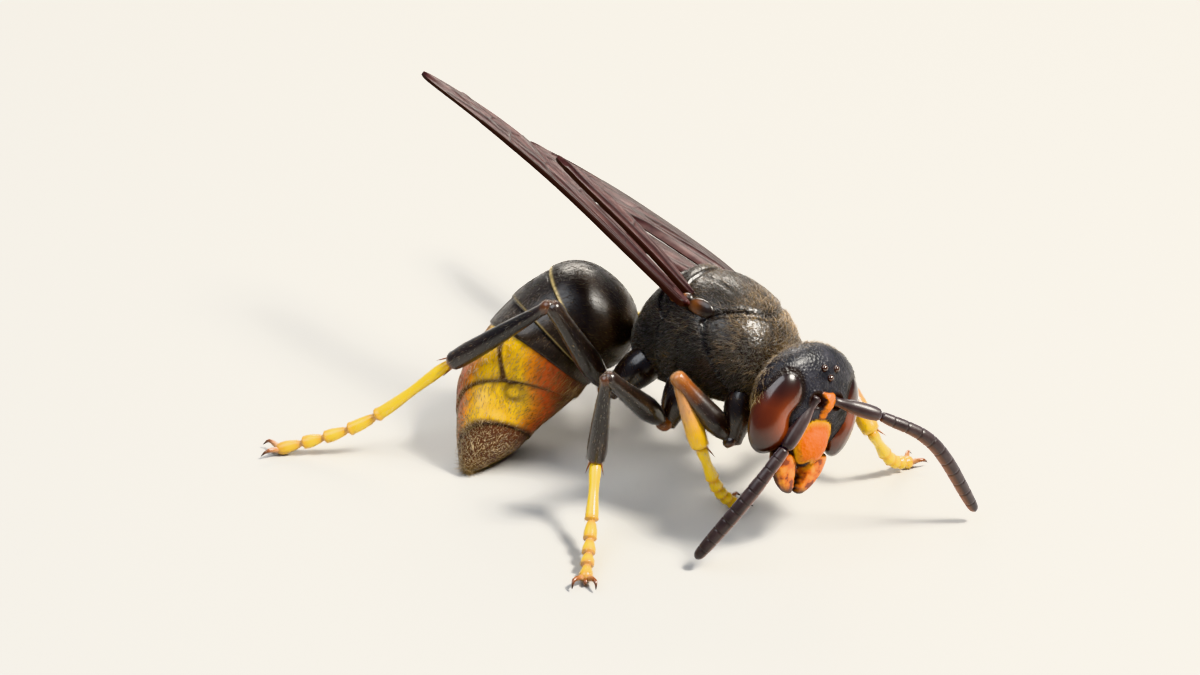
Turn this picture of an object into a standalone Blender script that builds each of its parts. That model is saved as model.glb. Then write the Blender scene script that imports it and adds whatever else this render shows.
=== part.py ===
# A yellow-legged hornet worker at life size, standing on a floor with its gaster bent to its right.
# Metres, +Z up. The head points towards +X and the right side of the body towards -Y.
# The origin is on the floor, under the middle of the model's box.
import math

import bmesh
import bpy
from mathutils import Matrix, Vector

MM = 0.001
GAP = 0.3 * MM  # kept between nodes that touch
WELD = 0.0005 * MM
COLLECTION = "yellow_legged_hornet"
UP = Vector((0, 0, 1))

# Stance of the thorax, which everything else grows from
THORAX_HEIGHT = 6.0 * MM
THORAX_ROLL = math.radians(18)  # its back leans to the left
THORAX_PITCH = math.radians(4)  # its front is raised
STAND_X = 3.468 * MM  # the thorax centre from the middle of the model's box
STAND_Y = 0.719 * MM

# Thorax along its own axis: place, half width, half height, lift of the section's centre
THORAX_SECTIONS = (
    (-3.80, 0.42, 0.50, -0.85),
    (-3.45, 0.95, 1.05, -0.75),
    (-2.95, 1.50, 1.65, -0.48),
    (-2.30, 1.95, 2.12, -0.20),
    (-1.50, 2.22, 2.36, 0.00),
    (-0.60, 2.40, 2.48, 0.12),
    (0.30, 2.45, 2.50, 0.15),
    (1.10, 2.38, 2.36, 0.08),
    (1.80, 2.26, 2.14, -0.06),
    (2.40, 2.00, 1.84, -0.22),
    (2.90, 1.60, 1.44, -0.42),
    (3.25, 1.08, 0.96, -0.64),
    (3.60, 0.62, 0.58, -0.80),
    (4.10, 0.58, 0.54, -0.88),
)
THORAX_SIDES = 28
PRONOTUM_CUT = 1.35 * MM
PROPODEUM_CUT = -1.75 * MM
SCUTELLUM_PLACE = (-1.25, 0.0, 2.28)
SCUTELLUM_SIZE = (0.62, 1.15, 0.42)
TEGULA_PLACE = (0.35, 2.10, 1.35)
TEGULA_SIZE = (0.62, 0.38, 0.42)

# Head in its own axes: forward, left, up
HEAD_PLACE = Vector((4.80, -0.90, 5.50)) * MM
HEAD_YAW = math.radians(-10.7)
HEAD_PITCH = math.radians(7)
HEAD_ROLL = math.radians(22.5)
HEAD_FRONT = 1.20 * MM
HEAD_BACK = 1.05 * MM
HEAD_HALF_WIDTH = 2.48 * MM
HEAD_HALF_HEIGHT = 2.25 * MM
CLYPEUS_PLACE = (0.52, 0.0, -1.40)
CLYPEUS_SIZE = (0.74, 0.98, 1.05)
SHIELD_PLACE = (1.08, 0.0, 0.28)
SHIELD_SIZE = (0.32, 0.40, 0.42)
EYE_PLACE = (0.36, 1.70, -0.42)
EYE_SIZE = (0.88, 0.62, 1.56)
EYE_TURN = math.radians(52)  # from straight sideways towards the front
EYE_LEAN = math.radians(9)
MANDIBLE_HALF_WIDTH = 0.60 * MM
MANDIBLE_HALF_DEPTH = 0.42 * MM
MANDIBLE_HINGE = (0.40, 0.80, -1.98)
MANDIBLE_TIP = (0.52, 0.26, -3.48)
MANDIBLE_BULGE = 0.10 * MM  # how far the jaw bows out between hinge and tip
MANDIBLE_LEAN = math.radians(8)
# share of the length, share of the half width, share of the half depth
MANDIBLE_PROFILE = (
    (-0.10, 1.00, 1.00), (0.12, 1.00, 1.00), (0.35, 0.94, 0.92),
    (0.60, 0.78, 0.78), (0.82, 0.60, 0.60), (1.00, 0.24, 0.34),
)

# Antennae: the socket in the head's axes, then points of the model
SOCKET = (1.02, 0.52, 0.30)
SCAPE_RADIUS = 0.29 * MM
FLAGELLUM_RADIUS = 0.27 * MM
ANTENNA_ELBOW = {"right": (5.55, -2.95, 4.65), "left": (7.25, 0.60, 5.10)}
ANTENNA_MIDDLE = {"right": (4.95, -4.45, 2.90), "left": (8.75, 2.05, 3.75)}
ANTENNA_END = {"right": (3.75, -5.92, 0.48), "left": (9.85, 3.55, 0.48)}

# Gaster: the line of its segments' centres from the waist to the tip, and its widest radius
WAIST = (-3.95, -0.25, 5.05)
FIRST_RING = (-6.10, -1.17, 5.10)
FIFTH_SEGMENT = (-7.60, -3.86, 2.42)
LAST_SEGMENT = (-7.38, -5.22, 1.38)
GASTER_TIP = (-7.25, -6.66, 0.20)
# which way the rings face at the waist, half way and at the tip
GASTER_FACINGS = (Vector((-0.92, -0.39, 0.02)), Vector((-0.30, -0.70, -0.87)), Vector((0.05, -0.80, -0.60)))
GASTER_SIDES = 26
GASTER_FLATNESS = 0.96
# share of the line at each segment's rear edge
SEGMENT_ENDS = (0.245, 0.410, 0.545, 0.665, 0.820, 1.0)
SEGMENT_STEP = 0.07 * MM  # how far a rear edge stands over the next segment
# share of the line and radius there
GASTER_RADII = (
    (0.000, 0.40), (0.012, 0.75), (0.030, 1.12), (0.060, 1.52), (0.100, 1.88), (0.150, 2.18),
    (0.200, 2.34), (0.260, 2.42), (0.340, 2.47), (0.430, 2.44), (0.520, 2.32), (0.600, 2.16),
    (0.680, 1.98), (0.760, 1.76), (0.820, 1.50), (0.880, 1.14), (0.930, 0.80), (0.970, 0.50), (1.000, 0.26),
)

# Wings: root, tip and the turn of the blade about its own length
WING_ROOT = {"right": (0.05, -2.05, 8.25), "left": (-0.45, 2.40, 7.00)}
WING_TIP = {"right": (-16.85, 1.50, 11.45), "left": (-16.50, 7.50, 6.20)}
WING_TILT = {"right": math.radians(27), "left": math.radians(-42)}
MEMBRANE = 0.42 * MM
VEIN_HEIGHT = 0.13 * MM
WING_CAMBER = 0.16 * MM
WING_BOW = {"right": 0.55 * MM, "left": 0.20 * MM}  # how far the middle of the blade rises
# share of the length, outer edge, inner edge, in millimetres from the blade's line
FOREWING_EDGES = (
    (0.000, 0.36, -0.30),
    (0.040, 0.48, -0.34),
    (0.110, 0.70, -0.34),
    (0.220, 0.92, -0.34),
    (0.340, 1.00, -0.36),
    (0.460, 1.02, -0.42),
    (0.560, 1.02, -0.60),
    (0.640, 1.00, -0.92),
    (0.720, 0.94, -0.98),
    (0.800, 0.84, -0.88),
    (0.870, 0.70, -0.68),
    (0.930, 0.52, -0.44),
    (0.970, 0.34, -0.20),
    (1.000, 0.16, -0.02),
)
HINDWING_EDGES = (
    (0.035, -0.68, -1.02),
    (0.090, -0.67, -1.32),
    (0.180, -0.66, -1.68),
    (0.280, -0.68, -1.92),
    (0.380, -0.74, -2.00),
    (0.460, -0.86, -1.94),
    (0.530, -1.08, -1.78),
    (0.590, -1.32, -1.56),
)

# Legs: hip in the thorax's axes, then the ends of coxa, femur, tibia and tarsus in the model's
HIPS = {"front": (2.30, 1.00, -1.30), "middle": (-0.20, 1.25, -1.50), "hind": (-2.10, 1.15, -1.25)}
LEG_JOINTS = {
    "right_front": ((2.58, -2.30, 3.40), (0.48, -3.22, 5.95), (1.71, -3.16, 3.22), (2.22, -1.62, 0.11)),
    "right_middle": ((-0.25, -2.80, 3.30), (-0.82, -5.69, 6.51), (-1.29, -5.77, 2.65), (1.28, -9.35, 0.16)),
    "right_hind": ((-3.15, -2.80, 3.60), (-4.80, -4.26, 7.52), (-8.64, -5.92, 4.20), (-14.00, -10.45, 0.16)),
    "left_front": ((2.80, 1.25, 3.00), (2.90, 3.60, 4.60), (5.30, 2.90, 2.50), (5.64, 5.17, 0.16)),
    "left_middle": ((-0.15, 1.70, 2.55), (-1.20, 4.40, 5.40), (-2.20, 5.60, 1.95), (-4.60, 9.00, 0.16)),
    "left_hind": ((-2.35, 1.50, 2.85), (-4.40, 4.40, 4.60), (-7.90, 5.90, 1.65), (-13.20, 7.50, 0.16)),
}
# how far the tarsus sags below the straight line from ankle to foot
TARSUS_SAG = {"front": 0.55, "middle": 0.45, "hind": 0.75}
COXA_RADIUS = {"front": 0.62, "middle": 0.66, "hind": 0.70}
FEMUR_RADIUS = {"front": 0.43, "middle": 0.42, "hind": 0.45}
TIBIA_RADIUS = {"front": 0.34, "middle": 0.35, "hind": 0.37}
TARSUS_RADIUS = 0.25
LEG_SIDES = 8
TARSUS_SIDES = 7
CLAW_LENGTH = 0.75 * MM
CLAW_RADIUS = 0.13 * MM
CLAW_SIDES = 6

# Share of the length and share of the full radius along each piece of leg
COXA_PROFILE = ((0.0, 0.95), (0.25, 1.0), (0.55, 0.95), (0.78, 0.72), (0.92, 0.66), (1.0, 0.42))
FEMUR_PROFILE = ((0.0, 0.60), (0.06, 0.82), (0.22, 1.0), (0.50, 0.96), (0.80, 0.84), (0.94, 0.80), (1.0, 0.50))
TIBIA_PROFILE = ((0.0, 0.60), (0.05, 0.78), (0.25, 0.84), (0.60, 1.0), (0.88, 1.0), (0.97, 0.90), (1.0, 0.62))
TARSUS_PROFILE = (
    (0.00, 0.80), (0.05, 1.00), (0.40, 0.96), (0.46, 1.12), (0.50, 0.92), (0.61, 1.12),
    (0.65, 0.92), (0.74, 1.12), (0.78, 0.92), (0.85, 1.12), (0.89, 0.95), (0.97, 1.20), (1.0, 0.80),
)
CLAW_PROFILE = ((0.0, 1.2), (0.35, 1.0), (0.7, 0.75), (1.0, 0.25))
SCAPE_PROFILE = ((0.0, 0.72), (0.10, 0.80), (0.45, 0.98), (0.85, 1.0), (1.0, 0.66))
FLAGELLUM_PROFILE = (
    (0.0, 0.70), (0.08, 0.88), (0.20, 0.90), (0.33, 1.0), (0.47, 1.02), (0.60, 1.04),
    (0.73, 1.0), (0.86, 0.94), (0.95, 0.78), (1.0, 0.42),
)
FLAGELLUM_CUT = 0.52

COLOURS = {
    "cuticle_black": ((0.012, 0.009, 0.008), 0.42),
    "head_black": ((0.014, 0.011, 0.011), 0.35),
    "eye_brown": ((0.060, 0.014, 0.008), 0.18),
    "face_orange": ((0.78, 0.21, 0.02), 0.38),
    "antenna_brown": ((0.035, 0.018, 0.012), 0.42),
    "wing_smoke": ((0.085, 0.038, 0.032), 0.36),
    "gaster_dark": ((0.026, 0.018, 0.015), 0.40),
    "gaster_orange": ((0.74, 0.30, 0.02), 0.36),
    "gaster_tip": ((0.20, 0.075, 0.025), 0.40),
    "leg_dark": ((0.022, 0.017, 0.016), 0.38),
    "leg_yellow": ((0.80, 0.52, 0.05), 0.40),
}


def millimetres(values):
    return Vector(values) * MM


def material(name):
    found = bpy.data.materials.get(name)
    if found:
        return found
    colour, roughness = COLOURS[name]
    made = bpy.data.materials.new(name)
    made.use_nodes = True
    shader = made.node_tree.nodes["Principled BSDF"]
    shader.inputs["Base Color"].default_value = (*colour, 1.0)
    shader.inputs["Roughness"].default_value = roughness
    shader.inputs["Metallic"].default_value = 0.0
    return made


def object_from(bm, name):
    bmesh.ops.recalc_face_normals(bm, faces=bm.faces[:])
    mesh = bpy.data.meshes.new(name)
    bm.to_mesh(mesh)
    bm.free()
    made = bpy.data.objects.new(name, mesh)
    bpy.data.collections["cutters"].objects.link(made)
    return made


def use(made, name, finish):
    """Names a finished sub-part, gives it its material and moves it to the part's collection."""
    made.name = name
    made.data.name = name
    made.data.materials.clear()
    made.data.materials.append(material(finish))
    made.data.shade_smooth()
    made.data.set_sharp_from_angle(angle=math.radians(40))
    bpy.data.collections["cutters"].objects.unlink(made)
    bpy.data.collections[COLLECTION].objects.link(made)


def largest_surface(mesh):
    """Keeps the closed surface that holds the most, so that a node stays one body."""
    bm = bmesh.new()
    bm.from_mesh(mesh)
    bmesh.ops.remove_doubles(bm, verts=bm.verts[:], dist=WELD)
    left = set(bm.faces)
    shells = []
    while left:
        queue = [left.pop()]
        shell = []
        while queue:
            face = queue.pop()
            shell.append(face)
            for edge in face.edges:
                for other in edge.link_faces:
                    if other in left:
                        left.remove(other)
                        queue.append(other)
        volume = sum(face.calc_center_median().dot(face.normal) * face.calc_area() for face in shell)
        shells.append((abs(volume), shell))
    shells.sort(key=lambda item: item[0], reverse=True)
    scraps = [face for _, shell in shells[1:] for face in shell]
    bmesh.ops.delete(bm, geom=scraps, context="FACES")
    bm.to_mesh(mesh)
    bm.free()


def combine(target, others, operation):
    """Applies one Boolean between target and closed pieces, which are then removed."""
    cutters = bpy.data.collections["cutters"]
    group = bpy.data.collections.new("group")
    cutters.children.link(group)
    for other in others:
        cutters.objects.unlink(other)
        group.objects.link(other)
    modifier = target.modifiers.new(operation.lower(), "BOOLEAN")
    modifier.operation = operation
    modifier.operand_type = "COLLECTION"
    modifier.collection = group
    modifier.solver = "EXACT"
    graph = bpy.context.evaluated_depsgraph_get()
    mesh = bpy.data.meshes.new_from_object(target.evaluated_get(graph))
    target.modifiers.clear()
    target.data = mesh
    largest_surface(target.data)
    for other in others:
        bpy.data.objects.remove(other)
    bpy.data.collections.remove(group)


def fuse(target, *others):
    combine(target, others, "UNION")


def cut(target, *others):
    combine(target, others, "DIFFERENCE")


def slice_off(target, point, normal):
    """Removes what lies beyond a plane and closes the cut."""
    bm = bmesh.new()
    bm.from_mesh(target.data)
    geometry = bm.verts[:] + bm.edges[:] + bm.faces[:]
    made = bmesh.ops.bisect_plane(bm, geom=geometry, plane_co=point, plane_no=normal, clear_outer=True)
    rim = [item for item in made["geom_cut"] if isinstance(item, bmesh.types.BMEdge)]
    bmesh.ops.edgeloop_fill(bm, edges=rim)
    bmesh.ops.recalc_face_normals(bm, faces=bm.faces[:])
    bm.to_mesh(target.data)
    bm.free()


def copy_of(source):
    made = source.copy()
    made.data = source.data.copy()
    bpy.data.collections["cutters"].objects.link(made)
    return made


def smooth_line(points, count):
    """Points on a smooth curve through the given ones, evenly spaced along it."""
    ends = [points[0] * 2 - points[1]] + list(points) + [points[-1] * 2 - points[-2]]
    fine = []
    steps = 24
    for index in range(len(points) - 1):
        before, start, end, after = ends[index:index + 4]
        for step in range(steps):
            t = step / steps
            fine.append(
                0.5 * (
                    2 * start
                    + (end - before) * t
                    + (2 * before - 5 * start + 4 * end - after) * t ** 2
                    + (3 * start - before - 3 * end + after) * t ** 3
                )
            )
    fine.append(points[-1])
    travelled = [0.0]
    for first, second in zip(fine, fine[1:]):
        travelled.append(travelled[-1] + (second - first).length)
    line = []
    index = 0
    for step in range(count):
        wanted = travelled[-1] * step / (count - 1)
        while index < len(fine) - 2 and travelled[index + 1] < wanted:
            index += 1
        share = (wanted - travelled[index]) / (travelled[index + 1] - travelled[index])
        line.append(fine[index].lerp(fine[index + 1], share))
    return line


def point_on(line, share):
    place = min(max(share, 0.0), 1.0) * (len(line) - 1)
    index = min(int(place), len(line) - 2)
    return line[index].lerp(line[index + 1], place - index)


def frame_at(point, ahead, side):
    """A matrix with its Z ahead and its X kept near the given side."""
    ahead = ahead.normalized()
    side = (side - ahead * side.dot(ahead)).normalized()
    frame = Matrix((side, ahead.cross(side), ahead)).transposed().to_4x4()
    frame.translation = point
    return frame


def frames_along(points, side):
    frames = []
    for index, point in enumerate(points):
        ahead = points[min(index + 1, len(points) - 1)] - points[max(index - 1, 0)]
        frame = frame_at(point, ahead, side)
        side = frame.to_3x3() @ Vector((1, 0, 0))
        frames.append(frame)
    return frames


def loft(rings, name):
    """A closed skin over rings that all have the same number of points."""
    bm = bmesh.new()
    loops = [[bm.verts.new(point) for point in ring] for ring in rings]
    count = len(loops[0])
    for first, second in zip(loops, loops[1:]):
        for index in range(count):
            after = (index + 1) % count
            bm.faces.new((first[index], first[after], second[after], second[index]))
    bm.faces.new(loops[0][::-1])
    bm.faces.new(loops[-1])
    return object_from(bm, name)


def oval(frame, half_width, half_height, sides):
    ring = []
    for step in range(sides):
        angle = math.tau * (step + 0.5) / sides
        ring.append(frame @ Vector((half_width * math.cos(angle), half_height * math.sin(angle), 0)))
    return ring


def tube(line, profile, radius, sides, side, name, grow=0.0):
    """A limb along a line, its radius following the profile."""
    points = [point_on(line, share) for share, _ in profile]
    if grow:
        points[0] = points[0] + (points[0] - points[1]).normalized() * grow
        points[-1] = points[-1] + (points[-1] - points[-2]).normalized() * grow
    frames = frames_along(points, side)
    rings = []
    for frame, (_, share) in zip(frames, profile):
        reach = radius * share + grow
        rings.append(oval(frame, reach, reach, sides))
    return loft(rings, name)


def ellipsoid(place, size, frame, name, segments=20, rings=12):
    bm = bmesh.new()
    bmesh.ops.create_uvsphere(bm, u_segments=segments, v_segments=rings, radius=1.0)
    scale = Matrix.Diagonal((*(Vector(size) * MM), 1))
    bm.transform(frame @ Matrix.Translation(millimetres(place)) @ scale)
    return object_from(bm, name)


def thorax_frame():
    turn = Matrix.Rotation(-THORAX_PITCH, 4, "Y") @ Matrix.Rotation(-THORAX_ROLL, 4, "X")
    return Matrix.Translation((0, 0, THORAX_HEIGHT)) @ turn


def head_frame():
    turn = Matrix.Rotation(HEAD_YAW, 4, "Z") @ Matrix.Rotation(-HEAD_PITCH, 4, "Y")
    return Matrix.Translation(HEAD_PLACE) @ turn @ Matrix.Rotation(-HEAD_ROLL, 4, "X")


def thorax_shell(name, grow=0.0):
    frame = thorax_frame()
    along = Matrix.Rotation(math.radians(90), 4, "Y") @ Matrix.Rotation(math.radians(90), 4, "Z")
    rings = []
    for place, half_width, half_height, lift in THORAX_SECTIONS:
        section = frame @ Matrix.Translation(millimetres((place, 0, lift))) @ along
        rings.append(oval(section, half_width * MM + grow, half_height * MM + grow, THORAX_SIDES))
    return loft(rings, name)


def thorax_extras(target, grow=0.0):
    """Fuses the scutellum and the two tegulae with the thorax."""
    frame = thorax_frame()
    spread = Vector((1, 1, 1)) * (grow / MM)
    pieces = [ellipsoid(SCUTELLUM_PLACE, Vector(SCUTELLUM_SIZE) + spread, frame, "scutellum", 16, 8)]
    for side in (1, -1):
        place = (TEGULA_PLACE[0], TEGULA_PLACE[1] * side, TEGULA_PLACE[2])
        pieces.append(ellipsoid(place, Vector(TEGULA_SIZE) + spread, frame, "tegula", 12, 8))
    fuse(target, *pieces)


def make_thorax():
    frame = thorax_frame()
    forward = frame.to_3x3() @ Vector((1, 0, 0))
    whole = thorax_shell("thorax")
    thorax_extras(whole)
    cut(whole, head_shell("head_clearance", GAP))
    pieces = (
        ("pronotum", PRONOTUM_CUT, None),
        ("mesothorax", PROPODEUM_CUT, PRONOTUM_CUT),
        ("propodeum", None, PROPODEUM_CUT),
    )
    for name, rear, front in pieces:
        piece = copy_of(whole)
        if rear is not None:
            slice_off(piece, frame @ Vector((rear + GAP / 2, 0, 0)), -forward)
        if front is not None:
            slice_off(piece, frame @ Vector((front - GAP / 2, 0, 0)), forward)
        use(piece, name, "cuticle_black")
    bpy.data.objects.remove(whole)


def head_shell(name, grow=0.0):
    """The head capsule, flat behind, rounded in front and narrower towards the jaws."""
    bm = bmesh.new()
    bmesh.ops.create_uvsphere(bm, u_segments=36, v_segments=22, radius=1.0)
    for vert in bm.verts:
        forward, left, up = vert.co
        depth = HEAD_FRONT if forward > 0 else HEAD_BACK
        narrow = 1 - 0.30 * max(0.0, -up) ** 1.6
        flat = math.copysign(abs(forward) ** 0.85, forward)
        vert.co = Vector((
            flat * (depth + grow),
            left * (HEAD_HALF_WIDTH + grow) * narrow,
            up * (HEAD_HALF_HEIGHT + grow),
        ))
    bm.transform(head_frame())
    return object_from(bm, name)


def eye_shell(side, name, grow=0.0):
    """A kidney-shaped eye, notched beside the antenna's socket."""
    bm = bmesh.new()
    bmesh.ops.create_uvsphere(bm, u_segments=24, v_segments=16, radius=1.0)
    for vert in bm.verts:
        along, out, up = vert.co
        notch = 0.34 * math.exp(-((up - 0.05) / 0.36) ** 2) * max(0.0, along)
        vert.co = Vector((
            (along - notch) * (EYE_SIZE[0] * MM + grow),
            out * (EYE_SIZE[1] * MM + grow),
            up * (EYE_SIZE[2] * MM + grow),
        ))
    turn = Matrix.Rotation(-EYE_TURN, 4, "Z") @ Matrix.Rotation(EYE_LEAN, 4, "Y")
    bm.transform(Matrix.Translation(millimetres(EYE_PLACE)) @ turn)
    if side == "right":
        bmesh.ops.scale(bm, vec=(1, -1, 1), verts=bm.verts[:])
    bm.transform(head_frame())
    return object_from(bm, name)


def mandible_shell(side, name, grow=0.0):
    """A jaw that tapers and curves in to its teeth."""
    mirror = 1 if side == "left" else -1
    hinge = millimetres(MANDIBLE_HINGE)
    tip = millimetres(MANDIBLE_TIP)
    rings = []
    for share, width, depth in MANDIBLE_PROFILE:
        centre = hinge.lerp(tip, share)
        centre.y += math.sin(max(0.0, share) * math.pi) * MANDIBLE_BULGE
        frame = Matrix.Translation(centre) @ Matrix.Rotation(MANDIBLE_LEAN, 4, "X")
        ring = oval(frame, MANDIBLE_HALF_DEPTH * depth + grow, MANDIBLE_HALF_WIDTH * width + grow, 14)
        rings.append([Vector((point.x, point.y * mirror, point.z)) for point in ring])
    head = head_frame()
    return loft([[head @ point for point in ring] for ring in rings], name)


def make_head():
    frame = head_frame()
    head = head_shell("head_shell")
    clypeus = ellipsoid(CLYPEUS_PLACE, CLYPEUS_SIZE, frame, "clypeus", 24, 16)
    shield = ellipsoid(SHIELD_PLACE, SHIELD_SIZE, frame, "shield", 14, 10)
    fuse(head, clypeus, shield)
    for side in ("left", "right"):
        socket = eye_shell(side, "socket", GAP)
        hinge = mandible_shell(side, "hinge", GAP)
        cut(head, socket, hinge, scape_shell(side, "antenna_socket", GAP))
        use(eye_shell(side, "eye"), f"{side}_eye", "eye_brown")
        use(mandible_shell(side, "jaw"), f"{side}_mandible", "face_orange")
    use(head, "head", "head_black")


def antenna_line(side):
    mirror = 1 if side == "left" else -1
    socket = head_frame() @ millimetres((SOCKET[0], SOCKET[1] * mirror, SOCKET[2]))
    elbow = millimetres(ANTENNA_ELBOW[side])
    return socket, elbow


def scape_shell(side, name, grow=0.0):
    socket, elbow = antenna_line(side)
    return tube([socket, elbow], SCAPE_PROFILE, SCAPE_RADIUS, LEG_SIDES, UP, name, grow)


def make_antenna(side):
    _, elbow = antenna_line(side)
    scape = scape_shell(side, "scape")
    points = [elbow, millimetres(ANTENNA_MIDDLE[side]), millimetres(ANTENNA_END[side])]
    line = smooth_line(points, 24)
    flagellum = tube(line, FLAGELLUM_PROFILE, FLAGELLUM_RADIUS, LEG_SIDES, UP, "flagellum")
    cut(flagellum, scape_shell(side, "scape_clearance", GAP))
    middle = point_on(line, FLAGELLUM_CUT)
    along = (point_on(line, FLAGELLUM_CUT + 0.04) - middle).normalized()
    outer = copy_of(flagellum)
    slice_off(flagellum, middle - along * GAP / 2, along)
    slice_off(outer, middle + along * GAP / 2, -along)
    use(scape, f"{side}_antenna_scape", "antenna_brown")
    use(flagellum, f"{side}_antenna_flagellum", "antenna_brown")
    use(outer, f"{side}_antenna_tip", "antenna_brown")


def gaster_line():
    points = [millimetres(place) for place in (WAIST, FIRST_RING, FIFTH_SEGMENT, LAST_SEGMENT, GASTER_TIP)]
    return smooth_line(points, 97)


def gaster_radius(share):
    """Radius of the gaster at a share of its length."""
    for (start, small), (end, large) in zip(GASTER_RADII, GASTER_RADII[1:]):
        if share <= end:
            into = (share - start) / (end - start)
            return (small + (large - small) * into) * MM
    return GASTER_RADII[-1][1] * MM


def gaster_facing(share):
    """Turns evenly along the gaster, so that neighbouring rings never cross inside the bend."""
    start, middle, tip = GASTER_FACINGS
    return start * (1 - share) ** 2 + middle * 2 * share * (1 - share) + tip * share ** 2


def make_gaster():
    line = gaster_line()
    total = sum((second - first).length for first, second in zip(line, line[1:]))
    margin = GAP / 2 / total
    start = 0.0
    left = Vector((0, 1, 0))
    for number, end in enumerate(SEGMENT_ENDS, 1):
        first = start + margin if number > 1 else 0.0
        last = end - margin if number < 6 else 1.0
        steps = 10 if number == 1 else 5
        crowding = 1.5 if number == 1 else 1.0
        shares = [first + (last - first) * (step / steps) ** crowding for step in range(steps + 1)]
        rings = []
        for share in shares:
            frame = frame_at(point_on(line, share), gaster_facing(share), left)
            into = (share - first) / (last - first)
            step_out = SEGMENT_STEP * (into - 0.5) if number < 6 else 0
            radius = gaster_radius(share) + step_out
            rings.append(oval(frame, radius, radius * GASTER_FLATNESS, GASTER_SIDES))
        segment = loft(rings, f"segment_{number}")
        slice_off(segment, Vector((0, 0, 0)), -UP)
        finish = ("gaster_dark", "gaster_dark", "gaster_dark", "gaster_orange", "gaster_orange", "gaster_tip")[number - 1]
        use(segment, f"gaster_{number}", finish)
        start = end


def blade(side, edges, veins, name):
    """A wing blade with its veins raised on the upper face."""
    root = millimetres(WING_ROOT[side])
    tip = millimetres(WING_TIP[side])
    length = tip - root
    along = length.normalized()
    outward = along.cross(UP).normalized() * (1 if side == "left" else -1)
    if (outward.y > 0) != (side == "left"):
        outward = -outward
    lift = UP - along * UP.dot(along)
    lift.normalize()
    tilt = abs(WING_TILT[side]) * (1 if side == "right" else -1)
    across = outward * math.cos(tilt) + lift * math.sin(tilt)
    face = lift * math.cos(tilt) - outward * math.sin(tilt)
    columns = 10
    rings = []
    for share, outer, inner in edges:
        centre = root + length * share + face * (WING_BOW[side] * 4 * share * (1 - share))
        thin = 1.0 if share < 0.9 else 1.0 - 0.55 * (share - 0.9) / 0.1
        top = []
        bottom = []
        for column in range(columns + 1):
            into = column / columns
            place = centre + across * ((outer + (inner - outer) * into) * MM)
            arch = WING_CAMBER * (1 - (2 * into - 1) ** 2)
            ridge = VEIN_HEIGHT if column in veins else 0.0
            top.append(place + face * (arch + (MEMBRANE / 2 + ridge) * thin))
            bottom.append(place + face * (arch - MEMBRANE / 2 * thin))
        rings.append(top + bottom[::-1])
    return loft(rings, name)


def make_wings(clearance):
    for side in ("right", "left"):
        for part, edges, veins in (("forewing", FOREWING_EDGES, (1, 3, 6, 8)), ("hindwing", HINDWING_EDGES, (2, 5, 8))):
            wing = blade(side, edges, veins, part)
            cut(wing, copy_of(clearance))
            use(wing, f"{side}_{part}", "wing_smoke")


def leg_pieces(name):
    """The lines of a leg's four pieces, from the hip to the claws."""
    side, pair = name.split("_")
    mirror = 1 if side == "left" else -1
    along, out, up = HIPS[pair]
    hip = thorax_frame() @ millimetres((along, out * mirror, up))
    trochanter, knee, ankle, foot = (millimetres(place) for place in LEG_JOINTS[name])
    middle = ankle.lerp(foot, 0.5) - UP * TARSUS_SAG[pair] * MM
    return {
        "coxa": ([hip, trochanter], COXA_PROFILE, COXA_RADIUS[pair], LEG_SIDES),
        "femur": ([trochanter, knee], FEMUR_PROFILE, FEMUR_RADIUS[pair], LEG_SIDES),
        "tibia": ([knee, ankle], TIBIA_PROFILE, TIBIA_RADIUS[pair], LEG_SIDES),
        "tarsus": (smooth_line([ankle, middle, foot], 20), TARSUS_PROFILE, TARSUS_RADIUS, TARSUS_SIDES),
    }


def leg_shell(piece, name, grow=0.0):
    line, profile, radius, sides = piece
    return tube(line, profile, radius * MM, sides, UP + Vector((0.3, 0.2, 0)), name, grow)


def add_claws(tarsus, line):
    """Two hooked claws, spread to either side of the foot's end."""
    foot = line[-1]
    ahead = foot - line[-3]
    ahead.z = 0
    ahead.normalize()
    across = ahead.cross(UP)
    claws = []
    for side in (1, -1):
        start = foot - ahead * 0.15 * MM + across * side * 0.07 * MM + UP * 0.08 * MM
        bend = start + ahead * CLAW_LENGTH * 0.55 + across * side * CLAW_LENGTH * 0.42 + UP * 0.10 * MM
        end = start + ahead * CLAW_LENGTH * 0.95 + across * side * CLAW_LENGTH * 0.50 - UP * 0.08 * MM
        line = smooth_line([start, bend, end], 8)
        claws.append(tube(line, CLAW_PROFILE, CLAW_RADIUS, CLAW_SIDES, UP, "claw"))
    fuse(tarsus, *claws)


def make_leg(name, clearance):
    pieces = leg_pieces(name)
    before = copy_of(clearance)
    for part, piece in pieces.items():
        made = leg_shell(piece, part)
        if part == "tarsus":
            slice_off(made, Vector((0, 0, 0)), -UP)
            add_claws(made, piece[0])
        cut(made, before)
        before = leg_shell(piece, "clearance", GAP)
        yellow = part == "tarsus" or name.endswith("front") and part == "tibia"
        use(made, f"{name}_{part}", "leg_yellow" if yellow else "leg_dark")
    bpy.data.objects.remove(before)


def main():
    for old in list(bpy.data.objects):
        bpy.data.objects.remove(old)
    parts = bpy.data.collections.new(COLLECTION)
    cutters = bpy.data.collections.new("cutters")
    cutters.hide_render = True
    for collection in (parts, cutters):
        bpy.context.scene.collection.children.link(collection)
    make_head()
    make_thorax()
    for side in ("right", "left"):
        make_antenna(side)
    make_gaster()
    clearance = thorax_shell("thorax_clearance", GAP)
    thorax_extras(clearance, GAP)
    make_wings(clearance)
    for name in LEG_JOINTS:
        make_leg(name, clearance)
    bpy.data.objects.remove(clearance)
    for made in parts.objects:
        made.data.transform(Matrix.Translation((STAND_X, STAND_Y, 0)))


main()
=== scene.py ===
import math

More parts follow.
